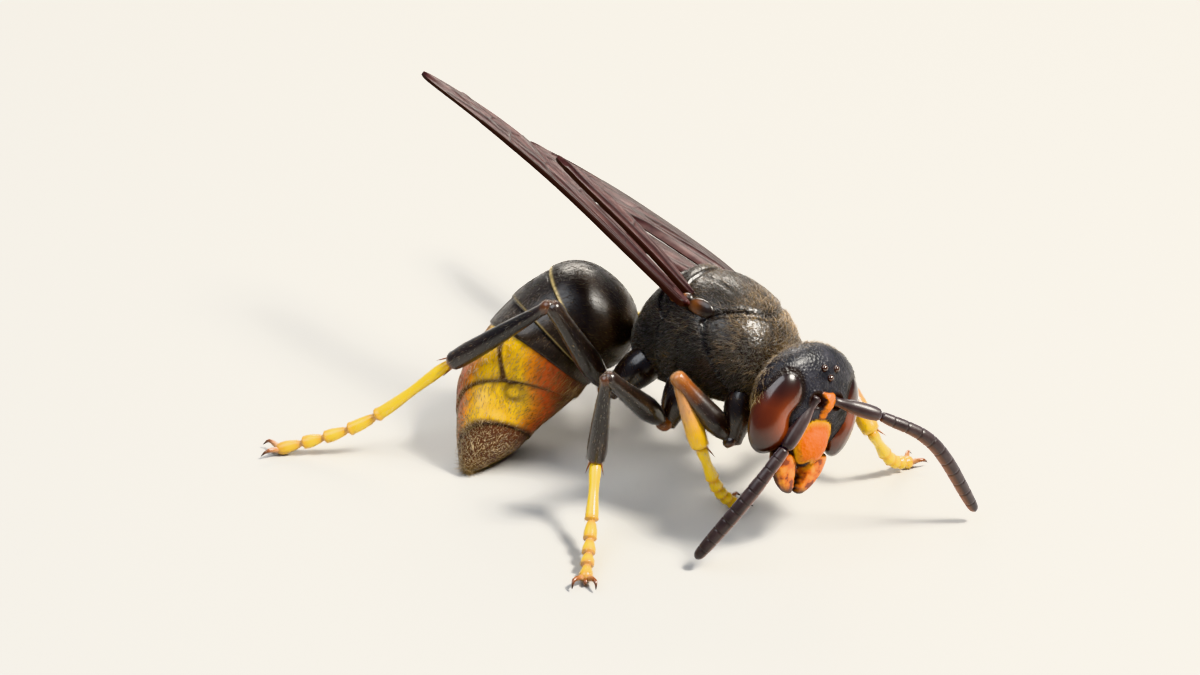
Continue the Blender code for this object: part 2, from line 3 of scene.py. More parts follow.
import bmesh
import bpy
import numpy as np
from mathutils import Matrix, Vector


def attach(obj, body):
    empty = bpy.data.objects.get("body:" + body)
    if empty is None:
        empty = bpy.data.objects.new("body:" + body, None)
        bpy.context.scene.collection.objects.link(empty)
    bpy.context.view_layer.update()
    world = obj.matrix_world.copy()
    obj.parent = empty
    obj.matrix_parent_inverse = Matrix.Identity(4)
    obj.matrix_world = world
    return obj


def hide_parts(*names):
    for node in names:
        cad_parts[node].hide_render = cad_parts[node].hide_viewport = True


# A hornet at life size on a pale floor. Skins, wings, legs and hair go over the CAD part, the fixed frame.
# Places are millimetres from the floor below the middle of the thorax; finishPiece moves them to the frame.
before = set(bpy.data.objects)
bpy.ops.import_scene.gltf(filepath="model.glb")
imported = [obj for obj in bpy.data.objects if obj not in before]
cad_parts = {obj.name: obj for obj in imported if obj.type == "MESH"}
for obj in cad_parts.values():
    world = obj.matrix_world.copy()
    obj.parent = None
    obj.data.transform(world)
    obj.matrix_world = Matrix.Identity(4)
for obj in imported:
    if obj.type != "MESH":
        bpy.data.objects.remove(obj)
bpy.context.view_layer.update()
print("frame loaded with", len(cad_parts), "nodes")

stand = {"place": (3.468, 0.719, 0.0), "toMetres": 0.001}


def unit(rows):
    return rows / np.maximum(np.linalg.norm(rows, axis=-1, keepdims=True), 1e-9)


def smoothCurve(at, table, column=1):
    # a smooth curve through one column of a table of rows, by the table's first column
    places = np.array([row[0] for row in table], float)
    values = np.array([row[column] for row in table], float)
    slopes = np.gradient(values, places)
    at = np.clip(at, places[0], places[-1])
    index = np.clip(np.searchsorted(places, at, side="right") - 1, 0, len(places) - 2)
    span = places[index + 1] - places[index]
    t = (at - places[index]) / span
    start = (2 * t ** 3 - 3 * t ** 2 + 1) * values[index] + (t ** 3 - 2 * t ** 2 + t) * span * slopes[index]
    return start + (3 * t ** 2 - 2 * t ** 3) * values[index + 1] + (t ** 3 - t ** 2) * span * slopes[index + 1]


def smoothStep(values, start, end):
    t = np.clip((values - start) / (end - start), 0, 1)
    return t * t * (3 - 2 * t)


def hump(values, centre, width):
    return np.exp(-((values - centre) / width) ** 2)


def lineThrough(points, count=120):
    # points evenly spaced on a smooth line through the given ones
    points = [np.array(point, float) for point in points]
    if len(points) == 2:
        return np.linspace(points[0], points[1], count)
    ends = [points[0] * 2 - points[1]] + points + [points[-1] * 2 - points[-2]]
    fine = []
    for index in range(len(points) - 1):
        before, start, end, after = ends[index:index + 4]
        for t in np.linspace(0, 1, 40, endpoint=False):
            bend = (2 * before - 5 * start + 4 * end - after) * t ** 2
            turn = (3 * start - before - 3 * end + after) * t ** 3
            fine.append(0.5 * (2 * start + (end - before) * t + bend + turn))
    fine = np.array(fine + [points[-1]])
    travelled = np.r_[0, np.cumsum(np.linalg.norm(np.diff(fine, axis=0), axis=1))]
    wanted = np.linspace(0, travelled[-1], count)
    return np.array([np.interp(wanted, travelled, fine[:, axis]) for axis in range(3)]).T


def rowsAt(rows, share):
    steps = np.linspace(0, 1, len(rows))
    return np.array([np.interp(share, steps, rows[:, axis]) for axis in range(rows.shape[1])]).T


def distanceToLine(points, line, closed=False):
    # distance of flat points from a broken line, in the same units
    line = [np.array(corner, float) for corner in line]
    ends = line[1:] + (line[:1] if closed else [])
    nearest = np.full(len(points), 1e9)
    for start, end in zip(line, ends):
        along = end - start
        share = np.clip(((points - start) @ along) / max(along @ along, 1e-12), 0, 1)
        nearest = np.minimum(nearest, np.linalg.norm(points - start - share[:, None] * along, axis=1))
    return nearest


def depthInside(points, outline):
    # distance from a closed outline, positive inside it
    inside = np.zeros(len(points), bool)
    for (x1, y1), (x2, y2) in zip(outline, outline[1:] + outline[:1]):
        crosses = (y1 > points[:, 1]) != (y2 > points[:, 1])
        height = y2 - y1 if abs(y2 - y1) > 1e-9 else 1e-9
        inside ^= crosses & (points[:, 0] < (x2 - x1) * (points[:, 1] - y1) / height + x1)
    return np.where(inside, 1, -1) * distanceToLine(points, outline, True)


def roundEnds(share, front, back):
    # 1 along the middle, falling to a rounded end over the given shares
    start = np.clip(share / front, 0, 1)
    end = np.clip((1 - share) / back, 0, 1)
    return np.sqrt(np.clip(1 - (1 - start) ** 2, 0, 1)) * np.sqrt(np.clip(1 - (1 - end) ** 2, 0, 1))


def turned(degreesZ=0.0, degreesY=0.0, degreesX=0.0):
    turn = Matrix.Rotation(math.radians(degreesZ), 3, "Z") @ Matrix.Rotation(math.radians(degreesY), 3, "Y")
    return np.array(turn @ Matrix.Rotation(math.radians(degreesX), 3, "X"))


def ballPlaces(share, angle):
    # places on a unit ball, by the share of the way down it and the angle round it
    down = share * math.pi
    return np.stack([np.sin(down) * np.cos(angle), np.sin(down) * np.sin(angle), np.cos(down)], 1)


def readyMasks(bm, names):
    layers = bm.verts.layers.float
    for name in ("lengthShare", "turnShare", *names):
        if not layers.get(name):
            layers.new(name)


def addBody(bm, segments, rings, shape, even=0.35):
    # a sphere drawn out into a closed body; shape gives places and masks by share of length and angle round
    readyMasks(bm, shape(np.array([0.5]), np.array([1.0]))[1])
    verts = bmesh.ops.create_uvsphere(bm, u_segments=segments, v_segments=rings, radius=1.0)["verts"]
    ball = np.array([vert.co[:] for vert in verts])
    latitude = np.arccos(np.clip(ball[:, 2], -1, 1)) / math.pi
    share = even * latitude + (1 - even) * (1 - ball[:, 2]) / 2
    angle = np.arctan2(ball[:, 1], ball[:, 0]) % math.tau
    places, masks = shape(share, angle)
    setBody(bm, verts, places, masks, share, angle)
    return verts


def setBody(bm, verts, places, masks, share, angle):
    masks = dict(masks, lengthShare=share, turnShare=angle / math.tau)
    for vert, place in zip(verts, places):
        vert.co = place
    for name, values in masks.items():
        layer = bm.verts.layers.float[name]
        for vert, value in zip(verts, np.asarray(values, float).tolist()):
            vert[layer] = value


def placeObject(name, data):
    made = bpy.data.objects.new(name, data)
    bpy.context.scene.collection.objects.link(made)
    return made


def placePiece(name, mesh, material):
    mesh.shade_smooth()
    mesh.materials.append(material)
    piece = placeObject(name, mesh)
    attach(piece, "root")
    return piece


def finishPiece(bm, name, material, replaced=()):
    bmesh.ops.recalc_face_normals(bm, faces=bm.faces[:])
    move = Matrix.Translation(Vector(stand["place"]) * stand["toMetres"]) @ Matrix.Scale(stand["toMetres"], 4)
    bm.transform(move)
    mesh = bpy.data.meshes.new(name)
    bm.to_mesh(mesh)
    bm.free()
    piece = placePiece(name, mesh, material)
    if replaced:
        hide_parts(*replaced)
    return piece


def limbShape(line, profile, radius, side=(0.3, 0.2, 1), flat=1.0, ends=(0.05, 0.05), masks=None):
    # a round limb along a line, its radius following the profile
    line = lineThrough(line) if len(line) < 20 else line
    ahead = unit(np.gradient(line, axis=0))
    sides = []
    across = np.array(side, float)
    for direction in ahead:
        across = across - direction * (across @ direction)
        across = across / np.linalg.norm(across)
        sides.append(across)
    sides = np.array(sides)

    def shape(share, angle):
        reach = radius * smoothCurve(share, profile) * roundEnds(share, *ends)
        direction = unit(rowsAt(ahead, share))
        sideways = rowsAt(sides, share)
        sideways = unit(sideways - direction * (sideways * direction).sum(1, keepdims=True))
        other = np.cross(direction, sideways)
        out = sideways * np.cos(angle)[:, None] + other * np.sin(angle)[:, None] * flat
        return rowsAt(line, share) + out * reach[:, None], masks(share, angle) if masks else {}
    return shape


def makeNode(tree, kind, inputs=None, **settings):
    node = tree.nodes.new(kind)
    for key, value in settings.items():
        setattr(node, key, value)
    for key, value in (inputs or {}).items():
        if isinstance(value, bpy.types.NodeSocket):
            tree.links.new(value, node.inputs[key])
        else:
            node.inputs[key].default_value = value
    return node


def makeRamp(tree, value, stops):
    ramp = makeNode(tree, "ShaderNodeValToRGB", {"Fac": value})
    elements = ramp.color_ramp.elements
    while len(elements) < len(stops):
        elements.new(0.5)
    for element, (place, colour) in zip(elements, stops):
        element.position = place
        element.color = (*colour, 1)
    return ramp.outputs["Color"]


def mixColour(tree, factor, first, second, mode="MIX"):
    # for colours the node uses input 0 for the factor, inputs 6 and 7 for the two colours, and output 2
    node = makeNode(tree, "ShaderNodeMix", data_type="RGBA", blend_type=mode)
    for socket, value in ((node.inputs[0], factor), (node.inputs[6], first), (node.inputs[7], second)):
        if isinstance(value, bpy.types.NodeSocket):
            tree.links.new(value, socket)
        else:
            socket.default_value = value if isinstance(value, (int, float)) else (*value, 1)
    return node.outputs[2]


def calculate(tree, operation, first, second=0.0, limited=False):
    node = makeNode(tree, "ShaderNodeMath", {0: first, 1: second}, operation=operation, use_clamp=limited)
    return node.outputs[0]


def readMask(tree, name):
    return makeNode(tree, "ShaderNodeAttribute", attribute_name=name).outputs["Fac"]


def makeGrainGroup():
    # small pits and a soft mottle, counted per millimetre of the surface
    group = bpy.data.node_groups.new("cuticleGrain", "ShaderNodeTree")
    for name, start in (("Pits per mm", 9.0), ("Mottle per mm", 1.5), ("Pit share", 0.6)):
        group.interface.new_socket(name, in_out="INPUT", socket_type="NodeSocketFloat").default_value = start
    for name in ("Height", "Mottle"):
        group.interface.new_socket(name, in_out="OUTPUT", socket_type="NodeSocketFloat")
    given = makeNode(group, "NodeGroupInput")
    made = makeNode(group, "NodeGroupOutput")
    place = makeNode(group, "ShaderNodeTexCoord").outputs["Object"]
    toMillimetres = {"Vector": place, "Scale": (1000, 1000, 1000)}
    scaled = makeNode(group, "ShaderNodeMapping", toMillimetres).outputs["Vector"]
    pits = makeNode(group, "ShaderNodeTexVoronoi", {"Vector": scaled, "Scale": given.outputs["Pits per mm"]})
    rough = makeNode(group, "ShaderNodeTexNoise", {"Vector": scaled, "Scale": 14.0, "Detail": 3.0})
    pitDepth = calculate(group, "MULTIPLY", pits.outputs["Distance"], given.outputs["Pit share"])
    height = calculate(group, "ADD", pitDepth, calculate(group, "MULTIPLY", rough.outputs["Fac"], 0.5))
    mottle = makeNode(group, "ShaderNodeTexNoise",
                      {"Vector": scaled, "Scale": given.outputs["Mottle per mm"], "Detail": 4.0})
    group.links.new(height, made.inputs["Height"])
    group.links.new(mottle.outputs["Fac"], made.inputs["Mottle"])
    return group


grainGroup = makeGrainGroup()


shaderInputs = {"colour": "Base Color", "roughness": "Roughness", "specular": "Specular IOR Level",
                "alpha": "Alpha", "coat": "Coat Weight", "coatRoughness": "Coat Roughness",
                "sheen": "Sheen Weight", "sheenTint": "Sheen Tint", "sheenRoughness": "Sheen Roughness"}


def newMaterial(name):
    material = bpy.data.materials.new(name)
    material.use_nodes = True
    return material, material.node_tree, material.node_tree.nodes["Principled BSDF"]


def setShader(tree, shader, **values):
    for key, value in values.items():
        socket = shader.inputs[shaderInputs[key]]
        if isinstance(value, bpy.types.NodeSocket):
            tree.links.new(value, socket)
        else:
            socket.default_value = (*value, 1) if isinstance(value, tuple) else value


def plainMaterial(name, values):
    material, tree, shader = newMaterial(name)
    setShader(tree, shader, **values)
    return material


def startMaterial(name, pits=9.0, mottle=1.5, pitShare=0.6, bump=0.35, depth=0.00002):
    # a material with the grain group and its bump, ready for colour
    material, tree, shader = newMaterial(name)
    grain = makeNode(tree, "ShaderNodeGroup", node_tree=grainGroup)
    for key, value in (("Pits per mm", pits), ("Mottle per mm", mottle), ("Pit share", pitShare)):
        grain.inputs[key].default_value = value
    bumpInputs = {"Strength": bump, "Distance": depth, "Height": grain.outputs["Height"]}
    bumped = makeNode(tree, "ShaderNodeBump", bumpInputs)
    tree.links.new(bumped.outputs["Normal"], shader.inputs["Normal"])
    return material, tree, shader, grain


def paintMarks(tree, colour, marks):
    # each mark: a mask of the skin, how strongly it shows, and its colour
    for mask, strength, over in marks:
        amount = readMask(tree, mask)
        if strength < 1:
            amount = calculate(tree, "MULTIPLY", amount, strength)
        colour = mixColour(tree, amount, colour, over)
    return colour


def paintSpots(tree, mottle, colour, piece):
    spots = makeRamp(tree, mottle, piece["spots"])
    return mixColour(tree, piece["spotShare"], colour, spots, "MULTIPLY")


def makeCuticle(name, piece, paint=None):
    # grain, colours, marks and finish from the piece's settings; paint gives a ground other than plain mottle
    material, tree, shader, grain = startMaterial(name, **piece["grain"])
    mottle = grain.outputs["Mottle"]
    ground = paint(tree, mottle) if paint else makeRamp(tree, mottle, piece["mottle"])
    setShader(tree, shader, colour=paintMarks(tree, ground, piece.get("marks", ())), **piece["finish"])
    return material


thorax = {
    "height": 6.0, "pitch": -4.0, "roll": -18.0, "segments": 200, "rings": 250, "ends": (0.012, 0.03),
    "coatDepth": 0.10, "coatEnds": (0.1, 0.1),  # how far the skin lies below the top of the hair
    # place along the axis, half width, half height, lift of the centre
    "sections": (
        (-3.86, 0.30, 0.34, -0.85), (-3.45, 0.95, 1.05, -0.75), (-2.95, 1.50, 1.65, -0.48),
        (-2.30, 1.95, 2.12, -0.20), (-1.50, 2.22, 2.36, 0.00), (-0.60, 2.40, 2.48, 0.12),
        (0.30, 2.45, 2.50, 0.15), (1.10, 2.38, 2.36, 0.08), (1.80, 2.26, 2.14, -0.06),
        (2.40, 2.00, 1.84, -0.22), (2.90, 1.60, 1.44, -0.42), (3.25, 1.08, 0.96, -0.64),
        (3.60, 0.66, 0.62, -0.80), (4.20, 0.60, 0.56, -0.90)),
    # furrows between the plates: depth, width, then places along the axis and round from the back's middle
    "furrows": (
        (0.10, 0.11, ((2.42, 0), (2.34, 0.6), (2.02, 1.2), (1.48, 1.85), (0.95, 2.35), (0.66, 2.75),
                      (1.0, 3.2), (1.5, 4.0), (2.0, 4.8), (2.3, 5.6))),
        (0.09, 0.10, ((0.60, 2.5), (-0.2, 2.3), (-0.85, 1.85), (-0.88, 1.2), (-0.78, 0.6), (-0.76, 0))),
        (0.10, 0.11, ((-1.74, 0), (-1.70, 0.7), (-1.52, 1.35), (-1.25, 1.9), (-0.85, 1.85))),
        (0.08, 0.10, ((-2.12, 0), (-2.10, 0.8), (-1.95, 1.6), (-1.70, 2.4), (-1.25, 2.9))),
        (0.09, 0.11, ((-0.95, 2.7), (-1.25, 3.3), (-1.30, 4.2), (-1.10, 5.6))),
        (0.06, 0.10, ((0.30, 3.1), (-0.15, 3.6), (-0.10, 4.4), (-0.45, 5.3))),
        (0.05, 0.16, ((-2.3, 0), (-3.4, 0))),
        (0.03, 0.07, ((2.30, 0), (0.9, 0))),
        (0.03, 0.06, ((-0.55, 0.85), (0.95, 1.05)))),
    "furrowScale": 1.5, "fullShadeDepth": 0.08, "roundScale": 2.3,  # the last: millimetres round for each radian
    # low ridges across the back: place, length, width, rise
    "ridges": ((-1.26, 0.42, 1.15, 0.20), (-1.94, 0.16, 1.3, 0.10)),
    "grain": {"pits": 8.0, "pitShare": 0.9, "bump": 0.55, "depth": 0.00003},
    "finish": {"roughness": 0.34, "coat": 0.25, "coatRoughness": 0.3},
    "mottle": ((0.3, (0.004, 0.0035, 0.003)), (0.7, (0.016, 0.012, 0.010))),
    # painted highlight and shade: the skin is browner along the middle of the back and darker down the sides
    "brown": ((0.0, (0.014, 0.010, 0.008)), (0.55, (0.006, 0.006, 0.005))), "brownShare": 0.4,
    # painted shade: the furrows are darkened by their depth
    "marks": (("furrow", 1.0, (0.003, 0.002, 0.002)),),
}
thoraxTurn = turned(0, thorax["pitch"], thorax["roll"])


def fromThorax(places):
    return np.asarray(places, float) @ thoraxTurn.T + np.array([0, 0, thorax["height"]])


def thoraxShape(share, angle):
    sections = thorax["sections"]
    place = sections[-1][0] + (sections[0][0] - sections[-1][0]) * share
    fromBack = np.abs((angle - math.pi / 2 + math.pi) % math.tau - math.pi)  # 0 along the middle of the back
    flat = np.stack([place, fromBack * thorax["roundScale"]], 1)
    sink = np.zeros(len(share))
    furrow = np.zeros(len(share))
    for depth, width, line in thorax["furrows"]:
        near = np.exp(-(distanceToLine(flat, line) / width) ** 2)
        sink = np.maximum(sink, thorax["furrowScale"] * depth * near)
        # painted shade in the furrows, darker the deeper they are
        furrow = np.maximum(furrow, near * min(1.0, depth / thorax["fullShadeDepth"]))
    rise = sum(height * hump(place, along, length) * hump(flat[:, 1], 0, width)
               for along, length, width, height in thorax["ridges"])
    grow = rise - sink - thorax["coatDepth"] * roundEnds(share, *thorax["coatEnds"])
    cap = roundEnds(share, *thorax["ends"])
    wide = (smoothCurve(place, sections, 1) + grow) * cap
    high = (smoothCurve(place, sections, 2) + grow) * cap
    lift = smoothCurve(place, sections, 3)
    places = np.stack([place, wide * np.cos(angle), lift + high * np.sin(angle)], 1)
    return fromThorax(places), {"furrow": furrow, "fromBack": fromBack / math.pi}


def paintThorax(tree, mottle):
    # painted highlight and shade: browner along the back, darker down the sides
    brown = makeRamp(tree, readMask(tree, "fromBack"), thorax["brown"])
    return mixColour(tree, thorax["brownShare"], makeRamp(tree, mottle, thorax["mottle"]), brown)


thoraxCuticle = makeCuticle("thoraxCuticle", thorax, paintThorax)
bm = bmesh.new()
addBody(bm, thorax["segments"], thorax["rings"], thoraxShape)
thoraxSkin = finishPiece(bm, "thoraxSkin", thoraxCuticle,
                         ("pronotum", "mesothorax", "propodeum"))


wingRoot = {
    # lumps at the root: place, half sizes, share of the pale brown spot, partly the lump's own colour and
    # partly a painted highlight
    "lumps": (((0.34, 1.94, 1.40), (0.62, 0.20, 0.38), 0.45), ((-0.40, 1.88, 1.58), (0.30, 0.20, 0.24), 0.8),
              ((-0.95, 1.80, 1.46), (0.34, 0.20, 0.20), 0.3)),
    "segments": 36, "rings": 30,
    "grain": {"pits": 11.0, "pitShare": 0.7, "bump": 0.3},
    "finish": {"roughness": 0.38, "coat": 0.3, "coatRoughness": 0.2},
    "mottle": ((0.3, (0.006, 0.004, 0.004)), (0.7, (0.020, 0.013, 0.010))),
    # the pale brown spot: partly the lump's own colour, partly a painted highlight
    "marks": (("pale", 1.0, (0.34, 0.12, 0.035)),),
}


def lumpShape(place, size, pale, side):
    def shape(share, angle):
        ball = ballPlaces(share, angle)
        # the pale spot towards the rear and outer side, partly own colour and partly a painted highlight
        spot = pale * hump(ball[:, 0], -0.35, 0.45) * smoothStep(ball[:, 1], 0.1, 0.8)
        return fromThorax((ball * size + np.array(place)) * np.array([1, side, 1])), {"pale": spot}
    return shape


wingRootCuticle = makeCuticle("wingRootCuticle", wingRoot)
for sideName, side in (("left", 1), ("right", -1)):
    bm = bmesh.new()
    for place, size, pale in wingRoot["lumps"]:
        addBody(bm, wingRoot["segments"], wingRoot["rings"], lumpShape(place, size, pale, side), even=1.0)
    finishPiece(bm, sideName + "WingRoot", wingRootCuticle)
print("thorax made")


head = {
    "place": (4.80, -0.90, 5.50), "yaw": -10.7, "pitch": -7.0, "roll": -22.5, "detail": 6,
    "front": 1.18, "back": 1.02, "halfWidth": 2.44, "halfHeight": 2.21, "core": (0.0, 0.0, -0.40),
    "bluntness": 0.85, "narrowing": (0.30, 1.6),  # the share and the power by which it narrows downwards
    "clypeus": {"place": (0.52, 0.0, -1.40), "size": (0.72, 0.96, 1.03), "blend": 0.025, "outline": (
        (0.0, -0.42), (0.30, -0.43), (0.54, -0.52), (0.74, -0.74), (0.90, -1.08), (0.94, -1.40), (0.84, -1.74),
        (0.66, -2.02), (0.50, -2.22), (0.30, -2.33), (0.14, -2.28), (0.0, -2.16))},
    "shield": {"place": (1.08, 0.0, 0.24), "size": (0.30, 0.36, 0.44), "blend": 0.03, "outline": (
        (0.0, 0.66), (0.28, 0.64), (0.34, 0.52), (0.25, 0.26), (0.20, 0.02), (0.18, -0.22), (0.17, -0.40),
        (0.0, -0.42))},
    "socket": {"place": (0.52, 0.30), "radius": 0.33},
    "ocelli": ((0.0, 1.20), (0.27, 1.50), (-0.27, 1.50)), "ocellusRadius": 0.135,
    # heights and depths of the relief on the face
    "relief": {"clypeus": 0.03, "clypeusGroove": 0.07, "clypeusGrain": 0.012, "shield": 0.05,
               "shieldGroove": 0.02, "socketRim": 0.06, "socketHole": 0.16, "eyeGroove": 0.04,
               "browGroove": 0.035, "crown": 0.05},
    "grain": {"pits": 9.0, "pitShare": 1.1, "bump": 0.65, "depth": 0.00003},
    "finish": {"roughness": 0.42, "coat": 0.10, "coatRoughness": 0.25, "specular": 0.3},
    # the head's dark cuticle, tinted bluish as a painted sheen
    "mottle": ((0.3, (0.008, 0.009, 0.012)), (0.7, (0.030, 0.030, 0.038))),
    # the clypeus from its edge inwards, and the spots over it
    "clypeusColours": ((0.0, (0.76, 0.44, 0.010)), (0.11, (0.73, 0.30, 0.003)), (0.30, (0.68, 0.150, 0.001))),
    "spots": ((0.36, (0.72, 0.58, 0.5)), (0.6, (1.0, 1.0, 1.0))), "spotShare": 0.7,
    "marks": (("shieldMask", 1.0, (0.68, 0.175, 0.004)), ("socketMask", 1.0, (0.012, 0.005, 0.004)),
              ("eyeRim", 1.0, (0.010, 0.006, 0.005)), ("crease", 1.0, (0.03, 0.008, 0.002))),
    "bead": {"colour": (0.035, 0.014, 0.008), "roughness": 0.12, "coat": 1.0, "coatRoughness": 0.04},
}
headTurn = turned(head["yaw"], head["pitch"], head["roll"])
eye = {
    "place": (0.36, 1.70, -0.42), "size": (0.88, 0.63, 1.66), "turn": 52.0, "lean": 9.0, "notch": 0.34,
    "segments": 120, "rings": 120,
    "grain": {"pits": 24.0, "pitShare": 1.0, "bump": 0.12, "depth": 0.00001},
    "finish": {"roughness": 0.28, "coat": 0.8, "coatRoughness": 0.10},
    # bands of colour from the bottom up, a painted glow of light across the middle, and painted shade at the
    # edge
    "bands": ((0.05, (0.016, 0.004, 0.003)), (0.30, (0.070, 0.012, 0.004)), (0.55, (0.090, 0.016, 0.005)),
              (0.74, (0.024, 0.007, 0.005)), (0.95, (0.008, 0.004, 0.004))),
    "paintedGlow": (("paintedGlow", 0.75, (0.32, 0.060, 0.010)),), "edge": (0.014, 0.006, 0.005), "edgeBlend": 0.35,
}
eyeTurn = turned(-eye["turn"], eye["lean"])


def fromHead(places):
    return np.asarray(places, float) @ headTurn.T + np.array(head["place"])


def mirroredOutline(half):
    return list(half) + [(-y, z) for y, z in half[-2:0:-1]]


def reachOf(core, rays, place, size):
    # how far rays from the core go to the far side of an ellipsoid; 0 where they miss it
    size = np.array(size)
    offset = (np.array(core) - np.array(place)) / size
    rays = rays / size
    a = (rays ** 2).sum(1)
    b = rays @ offset
    c = offset @ offset - 1
    inside = b * b - a * c
    return np.where(inside > 0, (-b + np.sqrt(np.maximum(inside, 0))) / a, 0)


def softLargest(first, second, blend):
    return first + blend * np.log1p(np.exp(np.clip((second - first) / blend, -40, 40)))


def eyeDepth(places, side):
    # 1 on the eye's surface, less inside it
    local = places * np.array([1, side, 1]) - np.array(eye["place"])
    local = local @ eyeTurn / np.array(eye["size"])
    notch = eye["notch"] * hump(local[:, 2], 0.05, 0.36) * smoothStep(local[:, 0], 0.0, 0.4)
    local[:, 0] += notch
    return np.linalg.norm(local, axis=1)


def headShape(ball):
    # places in the head's axes for points of a unit ball
    front, left, up = ball.T
    depth = np.where(front > 0, head["front"], head["back"])
    share, power = head["narrowing"]
    narrow = 1 - share * np.maximum(0, -up) ** power
    capsule = np.stack([np.sign(front) * np.abs(front) ** head["bluntness"] * depth,
                        left * head["halfWidth"] * narrow, up * head["halfHeight"]], 1)
    core = np.array(head["core"])
    rays = unit(capsule - core)
    reach = np.linalg.norm(capsule - core, axis=1)
    for part in (head["clypeus"], head["shield"]):
        reach = softLargest(reach, reachOf(core, rays, part["place"], part["size"]), part["blend"])
    places = core + rays * reach[:, None]
    face = smoothStep(places[:, 0], 0.25, 0.55)
    flat = places[:, 1:]
    wide, high = flat.T
    clypeus = depthInside(flat, mirroredOutline(head["clypeus"]["outline"]))
    shield = depthInside(flat, mirroredOutline(head["shield"]["outline"]))
    holeWide, holeHigh = head["socket"]["place"]
    sockets = np.minimum(*(np.linalg.norm(flat - np.array([side * holeWide, holeHigh]), axis=1)
                           for side in (1, -1)))
    eyes = np.minimum(eyeDepth(places, 1), eyeDepth(places, -1))
    radius = head["socket"]["radius"]
    relief = head["relief"]
    grow = -relief["clypeusGroove"] * hump(clypeus, 0.0, 0.045) * face
    grow += relief["clypeus"] * smoothStep(clypeus, 0.05, 0.3) * face
    grow += (relief["shield"] * smoothStep(shield, 0.0, 0.08) * face
             - relief["shieldGroove"] * hump(shield, -0.03, 0.04) * face)
    grow += (relief["socketRim"] * hump(sockets, radius, 0.05)
             - relief["socketHole"] * (1 - smoothStep(sockets, radius * 0.6, radius))) * face
    grow -= relief["eyeGroove"] * hump(eyes, 1.05, 0.05)
    grow -= (relief["browGroove"] * hump(wide, 0, 0.05) * smoothStep(high, 0.62, 0.75)
             * (1 - smoothStep(high, 1.0, 1.2)) * face)
    grow += (relief["clypeusGrain"] * np.sin(wide * 21 + np.sin(high * 9)) * np.sin(high * 17)
             * smoothStep(clypeus, 0.05, 0.2) * face)
    grow += relief["crown"] * hump(wide, 0, 0.42) * hump(high, 1.42, 0.30) * smoothStep(places[:, 0], 0.2, 0.4)
    places = places + rays * grow[:, None]
    masks = {"clypeus": smoothStep(clypeus, 0.01, 0.05) * face, "clypeusDepth": np.clip(clypeus, 0, 1) * face,
             "shieldMask": smoothStep(shield, 0.0, 0.04) * face, "frontMask": face,
             "socketMask": (1 - smoothStep(sockets, radius, radius + 0.07)) * face,
             "eyeRim": hump(eyes, 1.06, 0.07), "crease": hump(clypeus, 0.0, 0.035) * face}
    return places, masks


def paintHead(tree, mottle):
    dark = makeRamp(tree, mottle, head["mottle"])
    orange = makeRamp(tree, readMask(tree, "clypeusDepth"), head["clypeusColours"])
    return mixColour(tree, readMask(tree, "clypeus"), dark, paintSpots(tree, mottle, orange, head))


headCuticle = makeCuticle("headCuticle", head, paintHead)
bm = bmesh.new()
readyMasks(bm, headShape(np.array([[1.0, 0.0, 0.0]]))[1])
verts = bmesh.ops.create_icosphere(bm, subdivisions=head["detail"], radius=1.0)["verts"]
ball = unit(np.array([vert.co[:] for vert in verts]))
places, masks = headShape(ball)
turnAngle = np.arctan2(ball[:, 1], ball[:, 0]) % math.tau
setBody(bm, verts, fromHead(places), masks, np.arccos(np.clip(ball[:, 2], -1, 1)) / math.pi, turnAngle)
headSkin = finishPiece(bm, "headSkin", headCuticle, ("head",))

bm = bmesh.new()
for across, up in head["ocelli"]:
    # the nearest place on the front of the head
    away = np.hypot(places[:, 1] - across, places[:, 2] - up) + 9 * (places[:, 0] < 0)
    bead = Matrix.Translation(fromHead([places[np.argmin(away)]])[0])
    bmesh.ops.create_icosphere(bm, subdivisions=3, radius=head["ocellusRadius"], matrix=bead)
finishPiece(bm, "simpleEyes", plainMaterial("amberBead", head["bead"]))


def makeEyeShape(side):
    def shape(share, angle):
        ball = ballPlaces(share, angle)
        masks = {"heightMask": (ball[:, 2] + 1) / 2,
                 # painted glow of light, towards the front across the middle
                 "paintedGlow": smoothStep(ball[:, 0], -0.25, 0.75) * hump(ball[:, 2], -0.05, 0.48)}
        ball[:, 0] -= eye["notch"] * hump(ball[:, 2], 0.05, 0.36) * np.maximum(0, ball[:, 0])
        places = (ball * np.array(eye["size"])) @ eyeTurn.T + np.array(eye["place"])
        return fromHead(places * np.array([1, side, 1])), masks
    return shape


def paintEye(tree, mottle):
    colour = paintMarks(tree, makeRamp(tree, readMask(tree, "heightMask"), eye["bands"]), eye["paintedGlow"])
    # painted shade: darker where the surface turns away from the view
    facing = makeNode(tree, "ShaderNodeLayerWeight", {"Blend": eye["edgeBlend"]}).outputs["Facing"]
    return mixColour(tree, facing, colour, eye["edge"])


eyeFacets = makeCuticle("eyeFacets", eye, paintEye)
for sideName, side in (("left", 1), ("right", -1)):
    bm = bmesh.new()
    addBody(bm, eye["segments"], eye["rings"], makeEyeShape(side), even=1.0)
    finishPiece(bm, sideName + "EyeGlobe", eyeFacets, (sideName + "_eye",))
print("head and eyes made")


